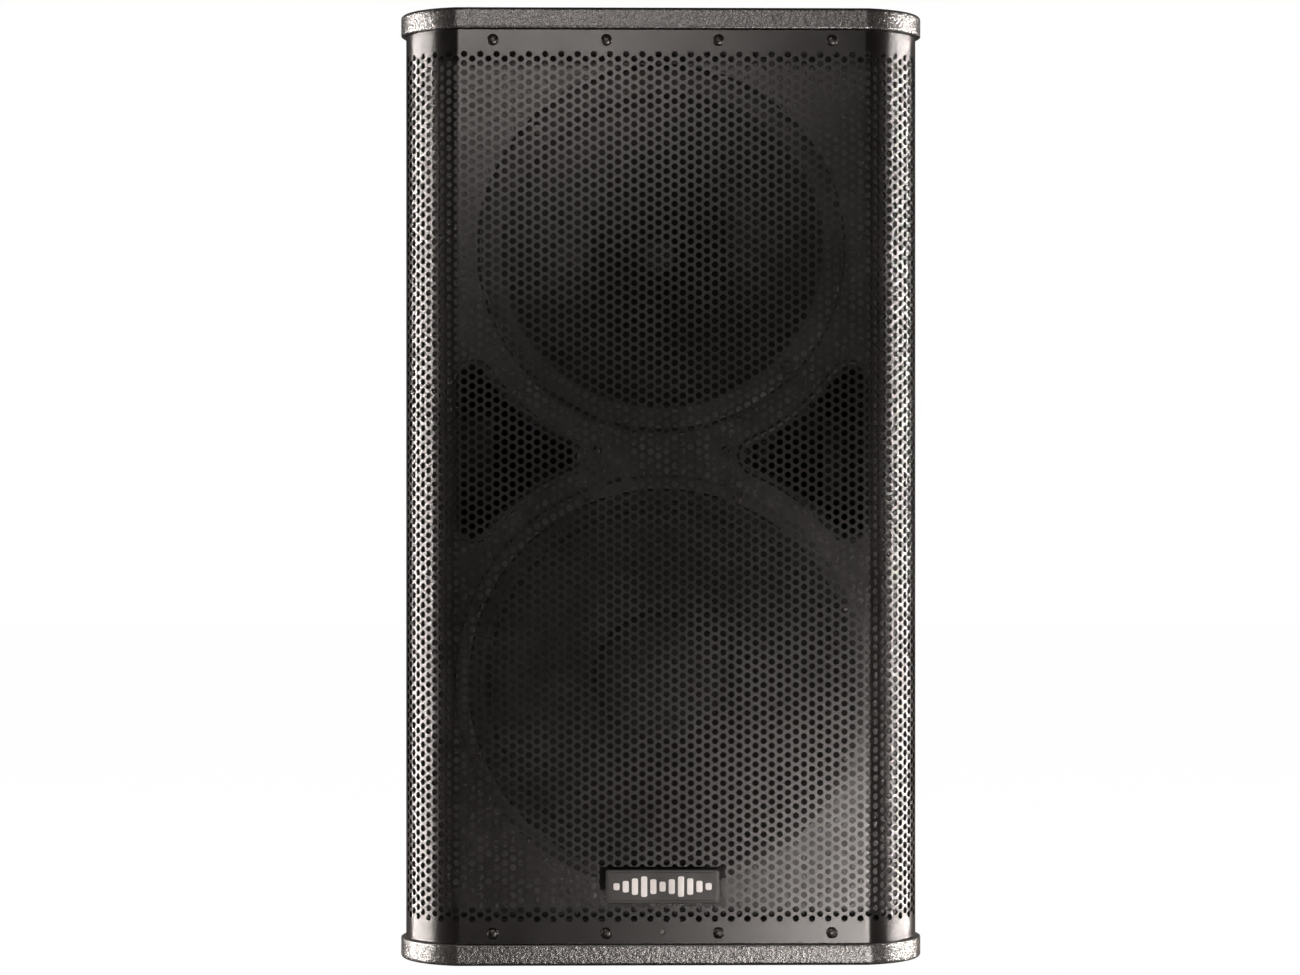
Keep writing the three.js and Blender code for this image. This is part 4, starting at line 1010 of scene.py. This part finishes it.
def build_waveguide():
    inside, outside = [], []
    for step in range(25):
        t = step / 24
        y = THROAT_Y + (HORN_FRONT + 6 - THROAT_Y) * t
        inside.append((horn_radius(t), y))
        outside.append((horn_radius(t) + 4 + 2 * t, y + 1.5 * t))
    back = BAFFLE_Y - GAP
    lip = [(116.4, HORN_FRONT + 2.9), (119.5, HORN_FRONT + 1.1), (122.3, HORN_FRONT + 0.25),
           (124.5, HORN_FRONT),
           (135.6, HORN_FRONT), (136.7, HORN_FRONT + 0.35), (137.3, HORN_FRONT + 0.9),
           (137.5, HORN_FRONT + 1.8)]
    profile = inside + lip + [(137.5, back), (122, back)] + outside[1:][::-1]
    profile += [(THROAT + 6, THROAT_Y - 7), (48, THROAT_Y - 7), (48, THROAT_Y)]
    piece = lathe_object("waveguide_horn", profile, 128, at(0, 0, WAVEGUIDE_Z), HORN_PLASTIC)
    for spot in ring_places(FLANGE_SCREW_RADIUS, WAVEGUIDE_Z, 0, FLANGE_SCREW_ANGLES):
        drill(piece, 5.8, HORN_FRONT - 1, HORN_FRONT + 3.4, spot, segments=48)
    # Dark rubber gasket round the flange, partly real and partly painted shade: its black ring stands in for
    # the shadow of the gap at the flange's edge.
    ring_gasket("waveguide_gasket_painted_shade", (137.7, 140.2), (BAFFLE_Y - 1.6, BAFFLE_Y - 0.1), 0.5,
                at(0, 0, WAVEGUIDE_Z))
    swap(piece, "waveguide", slot="black_plastic")
    template = socket_screw_template(3.9, 3.0, SCREW, 2.0)
    copies(template, [f"waveguide_screw_{i}" for i in range(1, 5)],
           ring_places(FLANGE_SCREW_RADIUS, WAVEGUIDE_Z, HORN_FRONT + 3.4, FLANGE_SCREW_ANGLES), FORWARD)


# ------------------------------------------------------------------ woofer

FRAME_FRONT = -155.0
LEDGE = -152.0
NECK_Y = -84.7
CONE_FRONT = LEDGE - GAP
COIL, CONE_INNER, CONE_EDGE, PAPER = 38, 39.2, 118, 1.2
SURROUND_INNER, SURROUND_OUTER = 124, 138
SPIDER_Y = BAFFLE_Y + 74 - 1.1


def cone_y(radius):
    t = (radius - COIL) / (CONE_EDGE - COIL)
    return NECK_Y + (CONE_FRONT + PAPER - NECK_Y) * (0.86 * t + 0.14 * t ** 2)


def build_woofer():
    centre = at(0, 0, WOOFER_Z)
    b = BAFFLE_Y
    profile = [
        (155.5, FRAME_FRONT + 0.2), (155.5, b - GAP), (141.4, b - GAP), (141.4, b + 21), (90, b + 75),
        (84, b + 82), (84, b + 90), (42, b + 90), (42, b + 86), (76, b + 86), (76, b + 74), (84, b + 74),
        (137, b + 16), (137, LEDGE), (146, LEDGE), (146.4, FRAME_FRONT)]
    frame_piece = lathe_object("woofer_basket", soften(profile, 0.7, steps=2), 128, centre, FRAME_COAT)
    for spoke in range(6):
        turn = Matrix.Rotation(spoke * math.pi / 3, 4, "Y")
        points, faces = rounded_stack([(68, 140, 12, b + 26), (68, 140, 12, b + 69)], (0, 130))
        boolean(frame_piece, tool([turn @ p + centre for p in points], faces))
    swap(frame_piece, "woofer_frame", slot="frame_casting")
    ring_gasket("woofer_gasket", (137.6, 145.6), (LEDGE - 1.35, LEDGE - 2.6), 0.7, centre)
    angles = [22.5 + 45 * i for i in range(8)]
    copies(socket_screw_template(3.8, 2.8, SCREW, 2.0), [f"woofer_screw_{i}" for i in range(1, 9)],
           ring_places(150.9, WOOFER_Z, FRAME_FRONT, angles), FORWARD)

    radii = [CONE_INNER + (CONE_EDGE - CONE_INNER) * i / 40 for i in range(41)]

    def ribbed(radius):
        """Two shallow stiffening rings pressed into the paper."""
        return sum(0.7 * math.exp(-((radius - ring) / 1.6) ** 2) for ring in (74, 96))

    rear = [(r, cone_y(r) - ribbed(r)) for r in radii]
    front = [(r, cone_y(r) - PAPER - ribbed(r)) for r in reversed(radii)]
    front[0] = (CONE_EDGE, CONE_FRONT)
    rim = [(SURROUND_INNER, CONE_FRONT + PAPER), (SURROUND_INNER, CONE_FRONT)]
    cone = lathe_object("woofer_cone_paper", rear + rim + front, 128, centre, PULP, body="woofer_cone")
    swap(cone, "woofer_cone", slot="cone_paper")

    base, rise = cone_y(51) - 2.1, 15

    def dome(share, lift):
        turn = share * math.pi / 2
        return (51 * math.cos(turn), base - rise * math.sin(turn) - lift)

    shares = [i / 14 for i in range(15)]
    outside = [dome(s, 1) for s in shares]
    inside = [dome(s, 0) for s in reversed(shares)]
    outside[-1], inside[0] = (0, outside[-1][1]), (0, inside[0][1])
    cap = lathe_object("woofer_dust_cap", inside + outside, 96, centre, PULP, body="woofer_cone")
    swap(cap, "dust_cap", slot="cone_paper")
    bend_ring("woofer_surround", surround_profile(), centre, "surround", SURROUND_INNER, SURROUND_OUTER)
    bend_ring("woofer_spider", spider_profile(), centre, "spider", 40, 82)


def wavy(inner, outer, depth, wave, bumps, thick, fine=8):
    """A thin ring whose depth waves along its width."""
    steps = bumps * fine
    front = []
    for step in range(steps + 1):
        share = step / steps
        front.append((inner + (outer - inner) * share, depth - wave * abs(math.sin(share * bumps * math.pi))))
    return front, [(r, y + thick) for r, y in reversed(front)]


def surround_profile():
    top = CONE_FRONT - 1.1
    front, back = wavy(SURROUND_INNER, SURROUND_OUTER, top, 3, 2, 0.8)
    return front + [(144.5, top), (144.5, top + 0.8)] + back + [(119, top + 0.8), (119, top)]


def spider_profile():
    front, back = wavy(38.4, 83, SPIDER_Y, 2.4, 7, 0.8)
    return front + back


def bend_ring(name, profile, centre, node, inner, outer):
    """A flexible ring: its inner edge follows the cone and its outer edge stays with the frame."""
    mesh = new_mesh(name, *lathe(profile, 128, centre))
    shade_smooth(mesh, 60)
    mesh.materials.append(CLOTH)
    piece = linked(name, mesh)
    side = centre + Vector((outer * MM, 0, 0))
    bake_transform(piece, "cabinet", "woofer_cone", side, centre + Vector((inner * MM, 0, 0)))
    weights = []
    for vertex in mesh.vertices:
        radius = math.hypot(vertex.co.x - centre.x, vertex.co.z - centre.z) / MM
        t = min(1.0, max(0.0, (outer - radius) / (outer - inner)))
        weights.append(t * t * (3 - 2 * t))
    mesh.attributes["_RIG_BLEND"].data.foreach_set("value", weights)
    swap(piece, node, slot="woven_cloth")


# ------------------------------------------------------------------ panels

def panel_object(name, outline, low, high, material):
    rings = [[Vector((p.x, p.y, z)) for p in outline] for z in (low * MM, high * MM)]
    return new_object(name, *loft(rings), material)


def corner_heading(offset, y):
    return math.acos((CORNER_CENTRE.y - y) / (CORNER_RADIUS + offset))


def build_side(side, sign):
    outer = -BACKING
    inner_x = SIDE_START.x - PLY
    points = arc(CORNER_CENTRE, CORNER_RADIUS + outer, corner_heading(outer, BAFFLE_FRONT), math.pi / 2, 20)
    points += arc(CORNER_CENTRE, CORNER_RADIUS, math.radians(90.5), SIDE_HEADING, 6)
    points += arc(REAR_CENTRE, REAR_RADIUS, SIDE_HEADING, math.pi, 20)
    back = REAR - PLY - GAP * MM
    points += [Vector((REAR_CENTRE.x, back)), side_point(back, -PLY),
               side_point(side_point(0, -PLY).y - 118 * MM, -PLY),
               Vector((inner_x, BAFFLE_FRONT + 25 * MM)), Vector((inner_x, BAFFLE_FRONT))]
    if sign < 0:
        points = mirrored(points)
    piece = panel_object(f"side_{side}_panel", points, 18, 702, PAINT)
    levels = [(132, 92, 16, -40), (132, 92, 16, 40)]
    boolean(piece, tool(*rounded_stack(levels, place=side_frame(sign))))
    swap(piece, f"side_panel_{side}", slot="cabinet_paint")


HANDLE_Y, HANDLE_Z = 30, 380
HANDLE_LONG, HANDLE_TALL, HANDLE_FLANGE = 124, 84, 3.3


def side_matrix(sign):
    spot = side_point(HANDLE_Y * MM)
    turn = SIDE_HEADING - math.pi / 2
    turn = turn if sign > 0 else math.pi - turn
    return Matrix.Translation((sign * spot.x, spot.y, HANDLE_Z * MM)) @ Matrix.Rotation(turn, 4, "Z")


def side_frame(sign):
    """Places (along, up, outwards) in mm on a side panel, centred on the handle."""
    matrix = side_matrix(sign)
    return lambda u, v, depth: matrix @ at(depth, u, v)


def build_handle(side, sign):
    """A moulded cup with a flange round it, and a ribbed rubber grip bar."""
    long, tall = HANDLE_LONG, HANDLE_TALL
    place = side_frame(sign)
    steps = ((-8, 8, -46), (-3.4, 10.3, -45.2), (-1, 11.5, -43), (0, 12, -40), (0, 12, 0.6), (0.7, 12.3, 2.1),
             (2.2, 13, 3.1), (4, 14, HANDLE_FLANGE), (23, 23.5, HANDLE_FLANGE), (26, 25, 2.9),
             (27.6, 25.8, 1.9), (28, 26, GAP), (6, 15, GAP), (6, 15, -49))
    levels = [(long + grow, tall + grow, radius, depth) for grow, radius, depth in steps]
    cup = new_object(f"handle_cup_{side}_moulding", *rounded_stack(levels, place=place), PLASTIC)
    swap(cup, f"handle_cup_{side}", slot="black_plastic")
    half = long / 2 - GAP
    profile = [(0, -half), (10.6, -half), (11.4, -half + 3), (11.8, -half + 8)]
    rib, start, end = 3.5, -half + 12, half - 12
    count = int((end - start) / rib)
    for i in range(count + 1):
        y = start + (end - start) * i / count
        profile += [(12, y - 0.9), (12, y + 0.6), (11.5, y + 0.9), (11.5, y + 1.6)]
    profile += [(11.8, half - 7), (11.4, half - 3), (10.6, half), (0, half)]
    points, faces = lathe(profile, 48, (0, 0, 0), "Y")
    matrix = side_matrix(sign) @ Matrix.Translation(at(-11, 0, 18))
    bar = new_object(f"handle_grip_{side}", [matrix @ p for p in points], faces, RUBBER)
    swap(bar, f"handle_bar_{side}", slot="rubber")
    template = pan_head_template(3.4, 2.2, SCREW)
    spots = [(u, v) for u in (-64, 64) for v in (-44, 44)]
    outwards = side_matrix(sign).to_3x3() @ Vector((1, 0, 0))
    copies(template, [f"handle_screw_{side}_{i}" for i in range(1, 5)],
           [place(u, v, HANDLE_FLANGE) for u, v in spots], outwards)


REAR_Y = REAR / MM
INPUT_Z, SOCKET_X = 190, 46
RIG_REAR_Z = 640
DISH_FLOOR = REAR_Y - 30


def build_rear():
    half = REAR_CENTRE.x / MM - GAP
    levels = [(2 * half, 684, 0.3, REAR_Y - PLY / MM), (2 * half, 684, 0.3, REAR_Y - 0.25),
              (2 * half - 0.5, 683.5, 0.3, REAR_Y)]
    panel = new_object("rear_board", *rounded_stack(levels, (0, 360), steps=2), PAINT)
    window = [(158, 92, 10, REAR_Y - 20), (158, 92, 10, REAR_Y + 1)]
    boolean(panel, tool(*rounded_stack(window, (0, INPUT_Z))))
    drill(panel, 9.3, REAR_Y - 6, REAR_Y + 1, at(0, 0, RIG_REAR_Z), segments=64)
    drill(panel, 5.3, REAR_Y - 20, REAR_Y + 1, at(0, 0, RIG_REAR_Z), segments=64)
    swap(panel, "rear_panel", slot="cabinet_paint")

    face = REAR_Y + 3.3
    levels = [(142, 76, 3, DISH_FLOOR), (147, 81, 5, DISH_FLOOR + 0.8), (149.4, 83.4, 5.8, DISH_FLOOR + 2.6),
              (150, 84, 6, DISH_FLOOR + 5), (150, 84, 6, face - 1.5), (150.8, 84.8, 6.4, face - 0.5),
              (153, 87, 7.5, face), (187, 117, 12.5, face), (189.2, 119.2, 13.6, face - 0.7),
              (190, 120, 14, face - 2), (190, 120, 14, REAR_Y + GAP), (156, 90, 9, REAR_Y + GAP),
              (156, 90, 9, DISH_FLOOR - 3)]
    plate = new_object("input_plate_casting", *rounded_stack(levels, (0, INPUT_Z)), CAST)
    for x, radius in ((-SOCKET_X, 13.3), (SOCKET_X, 13.3), (0, 3.3)):
        drill(plate, radius, DISH_FLOOR - 10, DISH_FLOOR + 2, at(x, 0, INPUT_Z), segments=64)
    swap(plate, "input_plate", slot="cap_casting")
    template = pan_head_template(4.0, 2.6, SCREW)
    spots = [(x, INPUT_Z + z) for x in (-86, 0, 86) for z in (-51.5, 51.5)]
    copies(template, [f"input_screw_{i}" for i in range(1, 7)], [at(x, face, z) for x, z in spots], BACKWARD)
    build_sockets()
    build_knob()


def build_sockets():
    face = DISH_FLOOR + 4.3
    small = pan_head_template(1.9, 1.2, SCREW, 1.2, 1)
    for index, x in ((1, SOCKET_X), (2, -SOCKET_X)):
        flange = plate_levels(32, 32, 3.5, face, DISH_FLOOR + GAP, 0.8, -1)
        socket = new_object(f"speaker_socket_{index}_shell", *rounded_stack(flange, (x, INPUT_Z)), PLASTIC)
        centre = at(x, 0, INPUT_Z)
        boolean(socket, cylinder_tool(13, DISH_FLOOR - 22, face - 1, centre, segments=64), "UNION")
        well = soften([(6, face - 18), (11.5, face - 18), (11.5, face + 1), (6, face + 1)], 0.2)
        boolean(socket, tool(*lathe(well, 64, centre)))
        key = [(4, 3.6, 0.3, face - 16), (4, 3.6, 0.3, face + 1)]
        for side in (1, -1):
            boolean(socket, tool(*rounded_stack(key, (x, INPUT_Z + side * 11.6), steps=2)))
        groove = [(1.6, 3, 0.3, face - 8), (1.6, 3, 0.3, face + 1)]
        for side in (1, -1):
            boolean(socket, tool(*rounded_stack(groove, (x + side * 5.4, INPUT_Z), steps=2)))
        swap(socket, f"speaker_socket_{index}", slot="black_plastic")
        corners = [at(x + dx, face, INPUT_Z + dz) for dx, dz in ((-12.4, 12.4), (12.4, -12.4))]
        copies(small, [f"socket_{index}_screw_{i}" for i in (1, 2)], corners, BACKWARD)


def build_knob():
    base = DISH_FLOOR + 0.6
    profile = [(0, base), (11, base), (11, base + 3), (9.5, base + 12), (0, base + 12)]
    profile = soften(profile, 0.8, closed=False)
    knob = lathe_object("mode_knob_moulding", profile, 72, at(0, 0, INPUT_Z), PLASTIC, body="mode_selector")
    for i in range(12):
        turn = math.radians(30 * i + 15)
        spot = at(11.6 * math.cos(turn), 0, INPUT_Z + 11.6 * math.sin(turn))
        drill(knob, 1.6, base + 2, base + 13, spot, segments=20)
    boolean(knob, cylinder_tool(3, DISH_FLOOR - 9, base + 1, at(0, 0, INPUT_Z), segments=32), "UNION")
    levels = [(3.2, 10, 0.5, base + 10), (3.2, 10, 0.5, base + 13.4), (2.2, 9, 0.4, base + 14)]
    boolean(knob, tool(*rounded_stack(levels, (0, INPUT_Z + 5), steps=3)), "UNION")
    swap(knob, "mode_knob", slot="black_plastic")
    for i, angle in enumerate((90, 60, 30), 1):
        turn = math.radians(angle)
        spot = (17 * math.cos(turn), INPUT_Z + 17 * math.sin(turn))
        dot = [(size, size, radius, DISH_FLOOR + lift)
               for size, radius, lift in ((2.4, 1.1, 0), (2.4, 1.1, 0.15), (2.1, 1.0, 0.3))]
        piece = new_object(f"mode_mark_{i}", *rounded_stack(dot, spot, steps=5), EMBLEM)


# ------------------------------------------------------------------ underside and rigging

def build_rigging():
    profile = soften([(0, 0), (9, 0), (9, -1.2), (5, -5.4), (5, -24), (0, -24)], 0.3, closed=False)
    piece = lathe_object("plug_template", profile, 48, (0, 0, 0), SCREW, "Z")
    drill(piece, 3.5, -4, 1, (0, 0, 0), "Z", 6)
    template = template_from(piece)
    for base, spots, z, way in (("top", RIG_TOP, TOP - GAP, 1), ("bottom", RIG_BOTTOM, FOOT_STAND + GAP, -1)):
        names = [f"rigging_{base}_{i}_detail" for i in (1, 2)]
        places = [at(x, y, z) for x, y in spots]
        for i, plug in enumerate(copies(template, names, places, (0, 0, way)), 1):
            swap(plug, f"rigging_plug_{base}_{i}", slot="bare_steel")
    rear = copies(template, ["rigging_rear_detail"], [at(0, REAR_Y - GAP, RIG_REAR_Z)], BACKWARD)
    swap(rear[0], "rigging_plug_rear", slot="bare_steel")


def build_underside():
    low = FOOT_STAND + GAP
    profile = soften([(0, low + 78), (18.2, low + 78), (18.2, low), (42, low), (42, low + 3), (21.2, low + 3),
                      (21.2, low + 82), (0, low + 82)], 0.8, closed=False)
    socket = lathe_object("pole_cup", profile, 96, at(0, POLE_Y, 0), CAST, "Z")
    for i in range(4):
        turn = math.radians(45 + 90 * i)
        spot = at(32 * math.cos(turn), POLE_Y + 32 * math.sin(turn), 0)
        drill(socket, 3.6, low - 1, low + 1.6, spot, "Z", 36)
    swap(socket, "pole_socket", slot="cap_casting")
    profile = soften([(0, 1.6), (4, 1.6), (4, 0), (11, 0), (12, 1.2), (12, 6), (0, 6)], 0.5, closed=False)
    for i, (x, y) in enumerate(FOOT_SPOTS, 1):
        foot = lathe_object(f"foot_{i}_pad", profile, 48, at(x, y, 0), RUBBER, "Z")
        swap(foot, f"foot_{i}", slot="rubber")


# ------------------------------------------------------------------ pieces kept from the frame

KEPT = {
    BAFFLE_PAINT: ("top_panel", "bottom_panel"),
    FRAME_COAT: ("driver_front_plate",),
    FERRITE: ("driver_magnet", "woofer_magnet"),
    ZINC: ("driver_rear_plate", "woofer_top_plate", "woofer_back_plate"),
    TITANIUM: ("driver_diaphragm",),
    PLASTIC: ("driver_cover",),
    COPPER: ("voice_coil", "crossover_coil_1", "crossover_coil_2"),
    BOARD: ("crossover_board",),
    FILM: ("crossover_capacitor_1", "crossover_capacitor_2"),
    WADDING: ("wadding_pad",),
}


def finish_kept():
    pairs = [(surface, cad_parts[name]) for surface, names in KEPT.items() for name in names]
    for surface, node in pairs:
        node.data.materials.clear()
        node.data.materials.append(surface)
        bevel = node.modifiers.new("edges", "BEVEL")
        bevel.width = 0.3 * MM
        bevel.segments = 2
        bevel.limit_method = "ANGLE"
        bevel.angle_limit = math.radians(40)


# ------------------------------------------------------------------ stage

def area_light(name, place, aim, size, power, colour=(1, 1, 1)):
    lamp = bpy.data.lights.new(name, "AREA")
    lamp.shape = "RECTANGLE"
    lamp.size, lamp.size_y = size
    lamp.energy = power
    lamp.color = colour
    holder = linked(name, lamp)
    holder.visible_camera = False
    lamp.cycles.use_multiple_importance_sampling = False  # light samples alone pass through the floor
    holder.location = place
    holder.rotation_euler = (Vector(aim) - Vector(place)).to_track_quat("-Z", "Y").to_euler()
    return holder


def build_world():
    """White to the camera, a soft grey to everything else."""
    world = bpy.data.worlds.new("studio")
    bpy.context.scene.world = world
    world.use_nodes = True
    nodes, links = world.node_tree.nodes, world.node_tree.links
    nodes.clear()
    seen, lit = nodes.new("ShaderNodeBackground"), nodes.new("ShaderNodeBackground")
    seen.inputs["Color"].default_value = (1, 1, 1, 1)
    lit.inputs["Color"].default_value = (1, 0.98, 0.96, 1)
    lit.inputs["Strength"].default_value = 0.03
    path, mix = nodes.new("ShaderNodeLightPath"), nodes.new("ShaderNodeMixShader")
    output = nodes.new("ShaderNodeOutputWorld")
    links.new(path.outputs["Is Camera Ray"], mix.inputs[0])
    links.new(lit.outputs[0], mix.inputs[1])
    links.new(seen.outputs[0], mix.inputs[2])
    links.new(mix.outputs[0], output.inputs["Surface"])


def build_stage():
    size = 6.0
    corners = [(-size, -size, 0), (size, -size, 0), (size, size, 0), (-size, size, 0)]
    mesh = bpy.data.meshes.new("floor")
    mesh.from_pydata(corners, [], [(0, 1, 2, 3)])
    mesh.materials.append(STAGE_WHITE)
    floor = linked("floor", mesh)
    floor.visible_shadow = False  # the low softbox shines up from under the floor


CAMERA_DISTANCE = 2.45
CAMERA_X = -0.055
AIM_X = -0.0094


def build_camera():
    lens = bpy.data.cameras.new("camera")
    lens.sensor_width = 36
    lens.lens = 90.6
    camera = linked("camera", lens)
    height = MID - 0.7 * MM
    camera.location = (CAMERA_X, FRONT - CAMERA_DISTANCE, height)
    aim = Vector((AIM_X, FRONT, height))
    camera.rotation_euler = (aim - camera.location).to_track_quat("-Z", "Y").to_euler()
    bpy.context.scene.camera = camera


build_camera()
build_world()
build_stage()
bpy.context.scene.view_settings.view_transform = "Standard"
WARM = (1.0, 0.92, 0.88)
area_light("strip_left", (-1.4, 0.1, 0.3), (0, 0, 0.3), (1.2, 1.3), 59, WARM)
area_light("strip_right", (1.4, 0.1, 0.3), (0, 0, 0.3), (1.2, 1.3), 62, WARM)
area_light("upper_left", (-0.2, -2.3, 1.15), (-0.1, FRONT, 0.55), (0.62, 0.5), 7.2, WARM)
area_light("lower_right", (0.68, -2.1, -0.25), (0.15, FRONT, 0.2), (0.92, 0.42), 22, WARM)

build_grille()
build_caps()
build_badge()
build_grille_screws()
build_baffle()
build_ports()
build_waveguide()
build_throat_screen()
build_woofer()
for side_name, side_sign in (("left", -1), ("right", 1)):
    build_side(side_name, side_sign)
    build_handle(side_name, side_sign)
build_rear()
build_rigging()
build_underside()
finish_kept()
